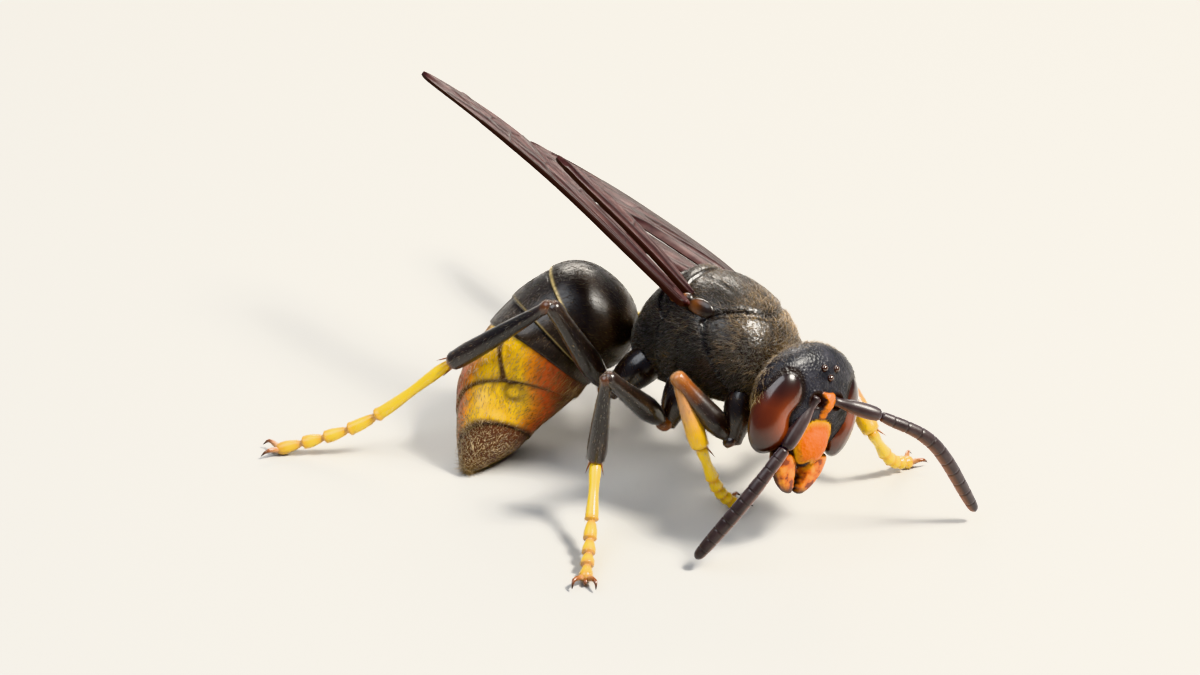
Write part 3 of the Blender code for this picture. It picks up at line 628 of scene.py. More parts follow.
mandible = {
    "hinge": (0.40, 0.80, -1.98), "tip": (0.52, 0.26, -3.50), "halfWidth": 0.60, "halfDepth": 0.42,
    "overlap": 0.10, "bulge": 0.10, "teeth": 4, "toothDepth": 0.07, "teethFrom": 0.45, "ridge": 0.03,
    "segments": 96, "rings": 96,
    # share of the length, then shares of the half width and half depth
    "profile": ((-0.10, 0.90, 1.0), (0.12, 1.0, 1.0), (0.35, 0.95, 0.92), (0.60, 0.80, 0.78),
                (0.82, 0.62, 0.60), (1.0, 0.26, 0.36)),
    "grain": {"pits": 7.0, "pitShare": 0.7, "bump": 0.5, "depth": 0.00002, "mottle": 3.0},
    "finish": {"roughness": 0.34, "coat": 0.25, "coatRoughness": 0.2},
    "mottle": ((0.40, (0.16, 0.024, 0.002)), (0.49, (0.52, 0.11, 0.003)), (0.66, (0.74, 0.27, 0.008))),
    "edge": (0.018, 0.007, 0.004),
}


def makeMandibleShape(side):
    hinge, tip = (np.array(mandible[name]) for name in ("hinge", "tip"))

    def shape(share, angle):
        at = -mandible["overlap"] + (1 + mandible["overlap"]) * share
        centre = hinge + (tip - hinge) * at[:, None]
        centre[:, 1] += np.sin(np.maximum(0, at) * math.pi) * mandible["bulge"]
        cap = roundEnds(share, 0.10, 0.05)
        wide = mandible["halfWidth"] * smoothCurve(at, mandible["profile"], 1) * cap
        deep = mandible["halfDepth"] * smoothCurve(at, mandible["profile"], 2) * cap
        inner = np.maximum(0, -np.sin(angle)) ** 3 * smoothStep(at, 0.42, 0.55)
        outer = 0.9 * smoothStep(np.sin(angle), 0.80, 0.98) + hump(at, -0.06, 0.05)
        turns = (at - mandible["teethFrom"]) / (1 - mandible["teethFrom"]) * math.tau * mandible["teeth"]
        teeth = mandible["toothDepth"] * inner * (0.5 + 0.5 * np.cos(turns))
        out = np.stack([deep * np.cos(angle), (wide - teeth) * np.sin(angle), np.zeros(len(share))], 1)
        out[:, 0] += mandible["ridge"] * hump(np.cos(angle), 0.75, 0.2) * smoothStep(at, 0.1, 0.5)
        masks = {"tipMask": smoothStep(at, 0.70, 0.98), "innerMask": np.clip(inner + outer, 0, 1)}
        return fromHead((centre + out) * np.array([1, side, 1])), masks
    return shape


def paintMandible(tree, mottle):
    edge = calculate(tree, "MAXIMUM", readMask(tree, "tipMask"), readMask(tree, "innerMask"), True)
    return mixColour(tree, edge, makeRamp(tree, mottle, mandible["mottle"]), mandible["edge"])


mandibleCuticle = makeCuticle("mandibleCuticle", mandible, paintMandible)
for sideName, side in (("left", 1), ("right", -1)):
    bm = bmesh.new()
    addBody(bm, mandible["segments"], mandible["rings"], makeMandibleShape(side))
    finishPiece(bm, sideName + "Jaw", mandibleCuticle, (sideName + "_mandible",))


antenna = {
    "socket": (1.02, 0.52, 0.30), "scapeRadius": 0.28, "flagellumRadius": 0.27, "rings": 11, "pinch": 0.07,
    "elbow": {"right": (5.55, -2.95, 4.65), "left": (7.25, 0.60, 5.10)},
    "middle": {"right": (4.95, -4.45, 2.90), "left": (8.75, 2.05, 3.75)},
    "end": {"right": (3.75, -5.92, 0.48), "left": (9.85, 3.55, 0.48)},
    # share of the length and share of the radius
    "scape": ((0.0, 0.62), (0.05, 0.80), (0.12, 0.66), (0.45, 0.96), (0.85, 1.0), (1.0, 0.80)),
    "flagellum": ((0.0, 0.72), (0.08, 0.86), (0.20, 0.90), (0.33, 1.0), (0.47, 1.02), (0.60, 1.04),
                  (0.73, 1.0), (0.86, 0.92), (0.95, 0.78), (1.0, 0.60)),
    "grain": {"pits": 16.0, "pitShare": 0.6, "bump": 0.4, "depth": 0.00001},
    "finish": {"roughness": 0.40, "coat": 0.15, "coatRoughness": 0.3, "sheen": 0.30, "sheenRoughness": 0.4,
               "sheenTint": (0.8, 0.75, 0.9)},
    "mottle": ((0.3, (0.016, 0.010, 0.010)), (0.7, (0.040, 0.026, 0.026))),
    "under": ((0.45, (0, 0, 0)), (0.85, (1, 1, 1))), "underColour": (0.20, 0.068, 0.018),
    "marks": (("joint", 0.6, (0.010, 0.006, 0.005)),),
}


def scapeMasks(share, angle):
    return {"under": (1 - np.cos(angle)) / 2, "joint": hump(share, 0.09, 0.02)}


def ringedShape(line, profile, radius, count):
    base = limbShape(line, profile, radius, side=(0, 0, 1), ends=(0.02, 0.04))
    centres = limbShape(line, ((0, 0), (1, 0)), 0.0, side=(0, 0, 1))

    def shape(share, angle):
        places, _ = base(share, angle)
        middle, _ = centres(share, angle)
        joint = np.abs((share * count) % 1.0 - 0.5) * 2  # 1 at each ring's end
        pinch = 1 - antenna["pinch"] * smoothStep(joint, 0.80, 1.0) * roundEnds(share, 0.03, 0.03)
        masks = {"under": (1 - np.cos(angle)) / 2, "joint": smoothStep(joint, 0.78, 0.98)}
        return middle + (places - middle) * pinch[:, None], masks
    return shape


def paintAntenna(tree, mottle):
    dark = makeRamp(tree, mottle, antenna["mottle"])
    under = makeRamp(tree, readMask(tree, "under"), antenna["under"])
    return mixColour(tree, under, dark, antenna["underColour"])


antennaCuticle = makeCuticle("antennaCuticle", antenna, paintAntenna)
for sideName, side in (("left", 1), ("right", -1)):
    socket = fromHead([np.array(antenna["socket"]) * np.array([1, side, 1])])[0]
    elbow = np.array(antenna["elbow"][sideName])
    inward = unit(elbow - socket)
    scapeLine = np.linspace(socket - inward * 0.18, elbow + inward * 0.05, 40)
    bm = bmesh.new()
    scape = limbShape(scapeLine, antenna["scape"], antenna["scapeRadius"], side=(0, 0, 1), ends=(0.04, 0.08),
                      masks=scapeMasks)
    addBody(bm, 40, 70, scape)
    finishPiece(bm, sideName + "Scape", antennaCuticle, (sideName + "_antenna_scape",))
    line = lineThrough([elbow, antenna["middle"][sideName], antenna["end"][sideName]])
    bm = bmesh.new()
    flagellum = ringedShape(line, antenna["flagellum"], antenna["flagellumRadius"], antenna["rings"])
    addBody(bm, 36, 260, flagellum, even=0.9)
    finishPiece(bm, sideName + "Flagellum", antennaCuticle,
                (sideName + "_antenna_flagellum", sideName + "_antenna_tip"))
print("jaws and antennae made")


gaster = {
    "line": ((-3.95, -0.25, 5.05), (-6.10, -1.17, 5.10), (-7.60, -3.86, 2.42), (-7.38, -5.22, 1.38),
             (-7.25, -6.66, 0.20)),
    "length": 10.1,  # of the line
    "facings": ((-0.92, -0.39, 0.02), (-0.30, -0.70, -0.87), (0.05, -0.80, -0.60)),
    "radii": ((0.0, 0.40), (0.012, 0.75), (0.03, 1.12), (0.06, 1.52), (0.10, 1.88), (0.15, 2.18), (0.20, 2.34),
              (0.26, 2.42), (0.34, 2.47), (0.43, 2.44), (0.52, 2.32), (0.60, 2.16), (0.68, 1.98), (0.76, 1.76),
              (0.82, 1.50), (0.88, 1.14), (0.93, 0.80), (0.97, 0.50), (1.0, 0.26)),
    "flatness": 0.96, "skinDepth": 0.03, "lip": 0.075, "floorGap": 0.02, "segments": 220, "rings": 330,
    # rear edge of each plate: share of the length, and how far it slants round the body
    "plates": ((0.215, 0.05), (0.325, 0.075), (0.415, 0.09), (0.635, 0.20), (0.854, 0.12)),
    "slantFrom": 175.0,
    # the middle of the back: share of the length and degrees round the rings
    "backLine": ((0.0, 262.0), (0.25, 240.0), (0.45, 218.0), (0.53, 200.0), (0.60, 172.0), (0.68, 158.0),
                 (0.85, 150.0), (1.0, 150.0)),
    "ringSpot": (0.62, 151.0),
    "grain": {"pits": 13.0, "pitShare": 0.5, "bump": 0.3, "depth": 0.000015, "mottle": 2.2},
    "finish": {"roughness": 0.38, "coat": 0.25, "coatRoughness": 0.3, "sheen": 0.15, "sheenRoughness": 0.4},
    "mottle": ((0.3, (0.012, 0.009, 0.008)), (0.7, (0.034, 0.026, 0.022))),
    # the bright plate from the middle of the back downwards, redder towards the sides as partly its own colour
    # and partly painted shade, its side darkened as painted shade, and the spots over it
    "bright": ((0.0, (0.86, 0.52, 0.008)), (0.45, (0.82, 0.27, 0.006)), (1.0, (0.52, 0.075, 0.003))),
    # painted shade down the sides of the bright plate
    "sides": (("paintedShadeSide", 1.0, (0.085, 0.022, 0.006)),),
    "spots": ((0.36, (0.70, 0.62, 0.5)), (0.6, (1.0, 1.0, 1.0))), "spotShare": 0.8,
    "marks": (("darkMark", 1.0, (0.050, 0.018, 0.004)), ("tip", 1.0, (0.075, 0.018, 0.005)),
              ("paleRear", 1.0, (0.62, 0.46, 0.18)), ("groove", 0.7, (0.010, 0.005, 0.003))),
}
gasterLine = lineThrough(gaster["line"], 240)


def gasterFrame(share):
    start, middle, end = (np.array(facing) for facing in gaster["facings"])
    at = share[:, None]
    ahead = unit(start * (1 - at) ** 2 + middle * 2 * at * (1 - at) + end * at ** 2)
    across = unit(np.array([0.0, 1.0, 0.0]) - ahead * ahead[:, 1:2])
    return ahead, across, np.cross(ahead, across)


def plateEdges(angle):
    slant = np.sin(angle - math.radians(gaster["slantFrom"]))
    return [middle + swing * slant for middle, swing in gaster["plates"]]


def gasterShape(share, angle):
    edges = plateEdges(angle)
    long = gaster["length"]
    radius = smoothCurve(share, gaster["radii"]) - gaster["skinDepth"]
    number = np.zeros(len(share))
    starts = np.zeros(len(share))
    toEdge = np.full(len(share), 1.0)
    for index, edge in enumerate(edges):
        past = share > edge
        number = np.where(past, index + 1, number)
        starts = np.where(past, edge, starts)
        toEdge = np.where(np.abs(share - edge) < np.abs(toEdge), share - edge, toEdge)
    ends = np.select([number == index for index in range(5)], edges, 1.0)
    into = (share - starts) / np.maximum(ends - starts, 1e-3)
    lip = (gaster["lip"] * (smoothStep(into, 0.0, 1.0) - 0.62) * (1 - smoothStep(share, 0.86, 0.95))
           * smoothStep(share, 0.05, 0.12))
    lip = lip - 0.02 * hump(toEdge, 0.004, 0.004)
    radius = (radius + lip) * roundEnds(share, 0.004, 0.02)
    _, across, other = gasterFrame(share)
    out = across * np.cos(angle)[:, None] + other * np.sin(angle)[:, None] * gaster["flatness"]
    places = rowsAt(gasterLine, share) + out * radius[:, None]
    places[:, 2] = np.maximum(places[:, 2], gaster["floorGap"])
    backAngle = np.radians(smoothCurve(share, gaster["backLine"]))
    fromBack = np.abs((angle - backAngle + math.pi) % math.tau - math.pi)
    spotShare, spotAngle = gaster["ringSpot"]
    spotRound = ((angle - math.radians(spotAngle) + math.pi) % math.tau - math.pi) * 2.0
    spot = np.hypot((share - spotShare) * long, spotRound)
    yellow = smoothStep(share - edges[2], 0.002, 0.010) * (1 - smoothStep(share - edges[4], -0.035, 0.0))
    notch = ((1 - smoothStep(fromBack * radius, 0.10, 0.30)) * (1 - smoothStep(share - edges[3], -0.01, 0.0))
             * (number == 3))
    line = 0.85 * hump((share - edges[3]) * long, 0.0, 0.15) * (1 - smoothStep(fromBack, 1.15, 1.5))
    ring = 0.8 * hump(spot, 0.34, 0.15) * (0.75 + 0.25 * np.cos(angle * 7 + share * 60))
    paleRear = hump((share - edges[0]) * long, -0.06, 0.055)
    paleRear += 0.35 * hump((share - edges[1]) * long, -0.05, 0.04)
    masks = {"yellow": yellow, "darkMark": np.clip(notch + line + ring, 0, 1),
             "paleRear": np.clip(paleRear, 0, 1) * (1 - smoothStep(fromBack, 1.9, 2.4)),
             # partly own colour, partly painted shade: redder away from the middle of the back; painted shade:
             # darker still down the sides
             "warmthAndShade": smoothStep(fromBack, 0.45, 1.25), "paintedShadeSide": smoothStep(fromBack, 1.2, 1.9),
             "tip": smoothStep(share - edges[4], -0.05, 0.03), "groove": hump(toEdge * long, 0.03, 0.05)}
    return places, masks


def paintGaster(tree, mottle):
    # redder towards the sides, partly own colour and partly painted shade
    bright = makeRamp(tree, readMask(tree, "warmthAndShade"), gaster["bright"])
    bright = paintSpots(tree, mottle, paintMarks(tree, bright, gaster["sides"]), gaster)
    return mixColour(tree, readMask(tree, "yellow"), makeRamp(tree, mottle, gaster["mottle"]), bright)


gasterCuticle = makeCuticle("gasterCuticle", gaster, paintGaster)
bm = bmesh.new()
addBody(bm, gaster["segments"], gaster["rings"], gasterShape, even=0.8)
gasterNodes = tuple("gaster_%d" % number for number in range(1, 7))
gasterSkin = finishPiece(bm, "gasterSkin", gasterCuticle, gasterNodes)
print("gaster made")


wing = {
    "root": {"right": (0.05, -2.05, 8.25), "left": (-0.45, 2.40, 6.70)},
    "tip": {"right": (-16.85, 1.50, 11.45), "left": (-16.50, 7.50, 6.10)},
    "tilt": {"right": 27.0, "left": -14.0}, "bow": {"right": 0.55, "left": 0.0},
    "length": 17.3, "membrane": 0.05, "vein": 0.045, "edgeVein": 0.085, "camber": 0.16, "pleat": 0.035,
    # share of the length, then places of the outer and inner edge; veins: width, then share of the length
    # and share across from the outer edge, which the hind wing counts along itself
    "fore": {"columns": 150, "rings": 270, "edges": (
        (0.0, 0.36, -0.30), (0.04, 0.48, -0.34), (0.11, 0.70, -0.34), (0.22, 0.92, -0.34), (0.34, 1.00, -0.36),
        (0.46, 1.02, -0.42), (0.56, 1.02, -0.60), (0.64, 1.00, -0.92), (0.72, 0.94, -0.98),
        (0.80, 0.84, -0.88), (0.87, 0.70, -0.68), (0.93, 0.52, -0.44), (0.97, 0.34, -0.20), (1.0, 0.16, -0.02)),
        "veins": (
            (0.10, ((0.0, 0.10), (0.25, 0.06), (0.60, 0.05), (0.72, 0.07))),
            (0.08, ((0.0, 0.25), (0.20, 0.20), (0.45, 0.16), (0.62, 0.10))),
            (0.07, ((0.05, 0.40), (0.22, 0.42), (0.40, 0.48), (0.52, 0.56), (0.66, 0.74))),
            (0.07, ((0.03, 0.62), (0.25, 0.72), (0.42, 0.80), (0.58, 0.90))),
            (0.06, ((0.45, 0.16), (0.52, 0.30), (0.66, 0.34), (0.80, 0.20), (0.88, 0.12))),
            (0.05, ((0.52, 0.30), (0.52, 0.56))), (0.05, ((0.62, 0.10), (0.66, 0.34), (0.66, 0.62))),
            (0.05, ((0.40, 0.48), (0.42, 0.80))), (0.05, ((0.66, 0.46), (0.82, 0.56), (0.92, 0.60))),
            (0.05, ((0.73, 0.28), (0.74, 0.50))), (0.04, ((0.20, 0.20), (0.22, 0.42))),
            (0.035, ((0.02, 0.33), (0.45, 0.30), (0.90, 0.40))),
            (0.035, ((0.02, 0.52), (0.40, 0.62), (0.88, 0.78))))},
    "hind": {"columns": 90, "rings": 150, "edges": (
        (0.035, -0.68, -1.02), (0.09, -0.67, -1.32), (0.18, -0.66, -1.68), (0.28, -0.68, -1.92),
        (0.38, -0.74, -2.00), (0.46, -0.86, -1.94), (0.53, -1.08, -1.78), (0.59, -1.32, -1.56)),
        "veins": (
            (0.07, ((0.0, 0.08), (0.5, 0.06), (0.9, 0.10))),
            (0.06, ((0.0, 0.40), (0.3, 0.36), (0.6, 0.30), (0.95, 0.42))),
            (0.05, ((0.0, 0.60), (0.3, 0.70), (0.6, 0.80))), (0.04, ((0.45, 0.33), (0.50, 0.76))))},
    "grain": {"pits": 18.0, "pitShare": 0.3, "bump": 0.25, "depth": 0.00001},
    "finish": {"roughness": 0.45, "specular": 0.16},
    "mottle": ((0.3, (0.040, 0.018, 0.020)), (0.7, (0.088, 0.040, 0.038))),
    "marks": (("vein", 1.0, (0.014, 0.006, 0.007)), ("edge", 1.0, (0.020, 0.008, 0.006))),
    "alpha": 0.87, "veinAlpha": 0.12,
}


def realVeins(part):
    # the veins of a wing in millimetres along it and across it
    edges = wing[part]["edges"]
    shares = [row[0] for row in edges]
    widths = [row[1] - row[2] for row in edges]
    veins = []
    for size, line in wing[part]["veins"]:
        if part == "hind":
            line = [(shares[0] + (shares[-1] - shares[0]) * at, over) for at, over in line]
        real = [(at * wing["length"], over * float(np.interp(at, shares, widths))) for at, over in line]
        veins.append((size, real))
    return veins


def makeWingShape(sideName, part):
    root = np.array(wing["root"][sideName])
    length = np.array(wing["tip"][sideName]) - root
    along = unit(length)
    outward = unit(np.cross(along, (0, 0, 1)))
    outward = outward if (outward[1] > 0) == (sideName == "left") else -outward
    lift = unit(np.array([0, 0, 1.0]) - along * along[2])
    tilt = math.radians(wing["tilt"][sideName])
    across = outward * math.cos(tilt) + lift * math.sin(tilt)
    face = lift * math.cos(tilt) - outward * math.sin(tilt)
    edges = wing[part]["edges"]
    veins = realVeins(part)

    def shape(share, angle):
        place = edges[0][0] + (edges[-1][0] - edges[0][0]) * share
        outer = smoothCurve(place, edges, 1)
        inner = smoothCurve(place, edges, 2)
        cap = roundEnds(share, 0.015, 0.05)
        middle = (outer + inner) / 2
        half = (outer - inner) / 2 * cap
        into = (1 - np.cos(angle)) / 2  # 0 at the outer edge, 1 at the inner
        top = np.sin(angle)
        width = np.abs(outer - inner)
        scaled = np.stack([place * wing["length"], into * width], 1)
        vein = np.zeros(len(share))
        for size, line in veins:
            vein = np.maximum(vein, np.exp(-(distanceToLine(scaled, line) / size) ** 2))
        rim = smoothStep(np.abs(2 * into - 1), 0.955, 0.985)
        arch = wing["camber"] * (1 - (2 * into - 1) ** 2)
        pleat = wing["pleat"] * np.sin(into * math.tau * 2.5 + share * 3) * cap
        thick = wing["membrane"] / 2 + wing["vein"] * vein + 0.5 * wing["edgeVein"] * hump(into, 0.02, 0.03)
        thick = thick * np.clip(np.abs(top) * 6, 0, 1) * np.sign(top) * np.clip(cap * 1.2, 0, 1)
        bow = wing["bow"][sideName] * 4 * place * (1 - place)
        centre = root + length * place[:, None] + face * bow[:, None]
        reach = middle + half * np.cos(angle)
        places = centre + across * reach[:, None] + face * (arch + pleat + thick)[:, None]
        return places, {"vein": np.clip(vein + rim, 0, 1), "edge": hump(into, 0.0, 0.06)}
    return shape


def makeWingMaterial():
    material = makeCuticle("wingMembrane", wing)
    tree = material.node_tree
    solid = calculate(tree, "MULTIPLY", readMask(tree, "vein"), wing["veinAlpha"])
    setShader(tree, tree.nodes["Principled BSDF"], alpha=calculate(tree, "ADD", solid, wing["alpha"], True))
    return material


wingMembrane = makeWingMaterial()
for sideName in ("right", "left"):
    for part in ("fore", "hind"):
        bm = bmesh.new()
        addBody(bm, wing[part]["columns"], wing[part]["rings"], makeWingShape(sideName, part), even=0.95)
        name = sideName + part.capitalize() + "wing"
        finishPiece(bm, name, wingMembrane, (sideName + "_" + part + "wing",))
print("wings made")


leg = {
    "hips": {"front": (2.30, 1.00, -1.30), "middle": (-0.20, 1.25, -1.50), "hind": (-2.10, 1.15, -1.25)},
    # trochanter, knee, ankle and foot
    "joints": {
        "right_front": ((2.58, -2.30, 3.40), (0.48, -3.22, 5.95), (1.71, -3.16, 3.22), (2.22, -1.62, 0.11)),
        "right_middle": ((-0.25, -2.80, 3.30), (-0.82, -5.69, 6.51), (-1.29, -5.77, 2.65), (1.28, -9.35, 0.16)),
        "right_hind": ((-3.15, -2.80, 3.60), (-4.80, -4.26, 7.52), (-8.64, -5.92, 4.20), (-14.0, -10.45, 0.16)),
        "left_front": ((2.80, 1.25, 3.00), (2.90, 3.60, 4.60), (5.30, 2.90, 2.50), (5.64, 5.17, 0.16)),
        "left_middle": ((-0.15, 1.70, 2.55), (-1.20, 4.40, 5.40), (-2.20, 5.60, 1.95), (-4.60, 9.00, 0.16)),
        "left_hind": ((-2.35, 1.50, 2.85), (-4.40, 4.40, 4.60), (-7.90, 5.90, 1.65), (-13.20, 7.50, 0.16))},
    "sag": {"front": 0.55, "middle": 0.45, "hind": 0.75},
    "radius": {"coxa": {"front": 0.62, "middle": 0.66, "hind": 0.70},
               "femur": {"front": 0.43, "middle": 0.42, "hind": 0.45},
               "tibia": {"front": 0.34, "middle": 0.35, "hind": 0.37},
               "tarsus": {"front": 0.23, "middle": 0.23, "hind": 0.23}},
    # how far each part runs on past its joints, and how finely it is made
    "overlap": {"coxa": (0.0, 0.10), "femur": (0.12, 0.10), "tibia": (0.10, 0.08), "tarsus": (0.05, 0.0)},
    "segments": {"coxa": 44, "femur": 44, "tibia": 44, "tarsus": 32},
    "rings": {"coxa": 60, "femur": 110, "tibia": 100, "tarsus": 220},
    "ends": {"coxa": (0.05, 0.05), "femur": (0.05, 0.05), "tibia": (0.05, 0.05), "tarsus": (0.02, 0.03)},
    # share of the length and share of the radius
    "coxa": ((0.0, 0.95), (0.25, 1.06), (0.55, 0.92), (0.78, 0.66), (0.92, 0.54), (1.0, 0.48)),
    "femur": ((0.0, 0.64), (0.04, 0.80), (0.09, 0.78), (0.12, 0.58), (0.15, 0.70), (0.32, 1.08), (0.50, 1.0),
              (0.80, 0.76), (0.93, 0.74), (1.0, 0.62)),
    "tibia": ((0.0, 0.60), (0.05, 0.72), (0.11, 0.62), (0.28, 0.76), (0.62, 1.02), (0.88, 1.08), (0.96, 0.96),
              (1.0, 0.74)),
    "tarsus": ((0.00, 0.70), (0.03, 0.86), (0.25, 0.82), (0.44, 1.08), (0.465, 1.08), (0.475, 0.62),
               (0.49, 0.74), (0.60, 1.10), (0.62, 1.08), (0.63, 0.62), (0.645, 0.74), (0.73, 1.10),
               (0.745, 1.06), (0.755, 0.60), (0.77, 0.74), (0.84, 1.12), (0.855, 1.06), (0.865, 0.60),
               (0.88, 0.70), (0.96, 1.10), (1.0, 0.90)),
    # share of the length and tone, which runs from black-brown through orange-brown and tan to yellow
    "tones": {
        "coxa": ((0, 0.05), (0.7, 0.07), (1, 0.20)),
        "femur": ((0, 0.36), (0.09, 0.32), (0.16, 0.10), (0.80, 0.08), (0.93, 0.14), (1, 0.20)),
        "frontFemur": ((0, 0.30), (0.12, 0.12), (0.5, 0.14), (0.85, 0.36), (1, 0.48)),
        "tibia": ((0, 0.20), (0.07, 0.24), (0.14, 0.12), (0.80, 0.14), (0.95, 0.22), (1, 0.50)),
        "frontTibia": ((0, 0.50), (0.10, 0.54), (0.5, 0.62), (0.8, 0.82), (1, 0.92)),
        "tarsus": ((0, 0.74), (0.04, 0.90), (0.44, 0.90), (0.475, 0.68), (0.51, 0.90), (0.60, 0.89),
                   (0.63, 0.66), (0.66, 0.89), (0.73, 0.88), (0.755, 0.64), (0.78, 0.88), (0.84, 0.86),
                   (0.865, 0.62), (0.89, 0.84), (1, 0.64)),
        "claw": ((0, 0.66), (0.4, 0.45), (1, 0.12)), "pad": ((0, 0.5), (1, 0.28))},
    "claw": {"length": 0.75, "radius": 0.10,
             "profile": ((0.0, 1.2), (0.35, 1.0), (0.7, 0.62), (0.9, 0.30), (1.0, 0.08))},
    "spur": {"length": 0.75, "radius": 0.055, "tone": 0.62,
             "profile": ((0.0, 1.0), (0.5, 0.62), (0.85, 0.24), (1.0, 0.06))},
    "pad": {"radius": 0.13, "profile": ((0, 0.8), (0.5, 1.0), (1, 0.9))},
    "floorGap": 0.01,
    "grain": {"pits": 12.0, "pitShare": 0.5, "bump": 0.3, "depth": 0.000012, "mottle": 2.5},
    "finish": {"roughness": 0.30, "coat": 0.5, "coatRoughness": 0.16, "sheen": 0.12, "sheenRoughness": 0.4},
    "toneColours": ((0.0, (0.010, 0.008, 0.008)), (0.18, (0.028, 0.020, 0.018)), (0.38, (0.20, 0.058, 0.012)),
                    (0.60, (0.50, 0.25, 0.10)), (0.80, (0.70, 0.38, 0.018)), (1.0, (0.80, 0.54, 0.014))),
}
legSkins = []


def paintLeg(tree, mottle):
    uneven = calculate(tree, "MULTIPLY", calculate(tree, "SUBTRACT", mottle, 0.5), 0.16)
    tone = calculate(tree, "ADD", readMask(tree, "tone"), uneven, True)
    return makeRamp(tree, tone, leg["toneColours"])


legCuticle = makeCuticle("legCuticle", leg, paintLeg)


def toneMask(table):
    return lambda share, angle: {"tone": smoothCurve(share, table)}


def liftOffFloor(verts):
    for vert in verts:
        vert.co.z = max(vert.co.z, leg["floorGap"])


def makeLeg(name):
    side, pair = name.split("_")
    mirror = 1 if side == "left" else -1
    along, out, up = leg["hips"][pair]
    hip = fromThorax([(along, out * mirror, up)])[0]
    trochanter, knee, ankle, foot = (np.array(place) for place in leg["joints"][name])
    middle = (ankle + foot) / 2 - np.array([0, 0, leg["sag"][pair]])
    routes = {"coxa": (hip, trochanter), "femur": (trochanter, knee), "tibia": (knee, ankle),
              "tarsus": (ankle, middle, foot)}
    for part, route in routes.items():
        before, after = leg["overlap"][part]
        ahead = unit(route[-1] - route[0])
        line = lineThrough([route[0] - ahead * before, *route[1:-1], route[-1] + ahead * after])
        tones = leg["tones"].get(pair + part.capitalize(), leg["tones"][part])
        radius = leg["radius"][part][pair]
        limb = limbShape(line, leg[part], radius, ends=leg["ends"][part], masks=toneMask(tones))
        bm = bmesh.new()
        verts = addBody(bm, leg["segments"][part], leg["rings"][part], limb, even=0.75)
        if part == "tarsus":
            liftOffFloor(verts)
            addFoot(bm, line)
        if part == "tibia":
            addSpurs(bm, line, foot, (1,) if pair == "front" else (1, -1))
        piece = finishPiece(bm, side + pair.capitalize() + part.capitalize(), legCuticle,
                            (name + "_" + part,))
        legSkins.append(piece)


def addSpurs(bm, line, foot, turns):
    spur = leg["spur"]
    ankle = line[-8]
    ahead = unit(line[-1] - line[-20])
    toFoot = unit(foot - ankle)
    across = unit(np.cross(ahead, toFoot + np.array([0, 0, 0.01])))
    tones = ((0, spur["tone"]), (1, spur["tone"] - 0.4))
    for turn in turns:
        start = ankle + across * turn * 0.16
        end = start + (ahead * 0.35 + toFoot * 0.65 + across * turn * 0.25) * spur["length"]
        spine = limbShape([start, (start + end) / 2, end], spur["profile"], spur["radius"], ends=(0.05, 0.02),
                          masks=toneMask(tones))
        addBody(bm, 10, 16, spine)


def addFoot(bm, line):
    foot = line[-1]
    ahead = foot - line[-12]
    ahead[2] = 0
    ahead = unit(ahead)
    across = np.cross(ahead, (0, 0, 1))
    size = leg["claw"]["length"]
    for turn in (1, -1):
        start = foot - ahead * 0.15 + across * turn * 0.07 + np.array([0, 0, 0.08])
        bend = start + ahead * size * 0.55 + across * turn * size * 0.42 + np.array([0, 0, 0.12])
        end = start + ahead * size * 0.95 + across * turn * size * 0.50 - np.array([0, 0, 0.10])
        claw = limbShape([start, bend, end], leg["claw"]["profile"], leg["claw"]["radius"], ends=(0.05, 0.02),
                         masks=toneMask(leg["tones"]["claw"]))
        liftOffFloor(addBody(bm, 14, 30, claw))
    pad = limbShape([foot - ahead * 0.1, foot + ahead * 0.22], leg["pad"]["profile"], leg["pad"]["radius"],
                    flat=0.7, ends=(0.3, 0.5), masks=toneMask(leg["tones"]["pad"]))
    liftOffFloor(addBody(bm, 20, 20, pad))


for legName in leg["joints"]:
    makeLeg(legName)
print("legs made")


hair = {
    # shade runs from black-brown through golden brown to pale gold
    "shades": ((0.0, (0.008, 0.006, 0.005)), (0.35, (0.050, 0.034, 0.020)), (0.65, (0.28, 0.175, 0.075)),
               (1.0, (0.68, 0.50, 0.26))),
    "finish": {"roughness": 0.42, "specular": 0.6, "sheen": 0.3},
    "lengthSpread": (0.65, 1.15), "taper": 0.85, "bend": 0.25, "rootDepth": 0.02, "floorGap": 0.02,
    "patch": (0.0015, 0.003),  # the size of one hair on its skin's map
}


def makeHairMaterial():
    material, tree, shader = newMaterial("fineHair")
    setShader(tree, shader, colour=makeRamp(tree, readMask(tree, "shade"), hair["shades"]), **hair["finish"])
    return material


fineHair = makeHairMaterial()


def hairTemplate(joints):
    # one three-sided hair along Z, a unit long, closed at both ends
    bm = bmesh.new()
    bmesh.ops.create_circle(bm, cap_ends=True, radius=1.0, segments=3)
    edges = bm.edges[:]
    for step in range(1, joints + 1):
        grown = bmesh.ops.extrude_edge_only(bm, edges=edges)["geom"]
        verts = [item for item in grown if isinstance(item, bmesh.types.BMVert)]
        edges = [item for item in grown if isinstance(item, bmesh.types.BMEdge)
                 and all(vert in verts for vert in item.verts)]
        for vert in verts:
            vert.co.z = step / joints
    bmesh.ops.pointmerge(bm, verts=verts, merge_co=(0, 0, 1))
    bmesh.ops.recalc_face_normals(bm, faces=bm.faces[:])
    bmesh.ops.triangulate(bm, faces=bm.faces[:])
    bm.verts.index_update()
    corners = np.array([vert.co[:] for vert in bm.verts])
    faces = np.array([[vert.index for vert in face.verts] for face in bm.faces])
    bm.free()
    return corners, faces


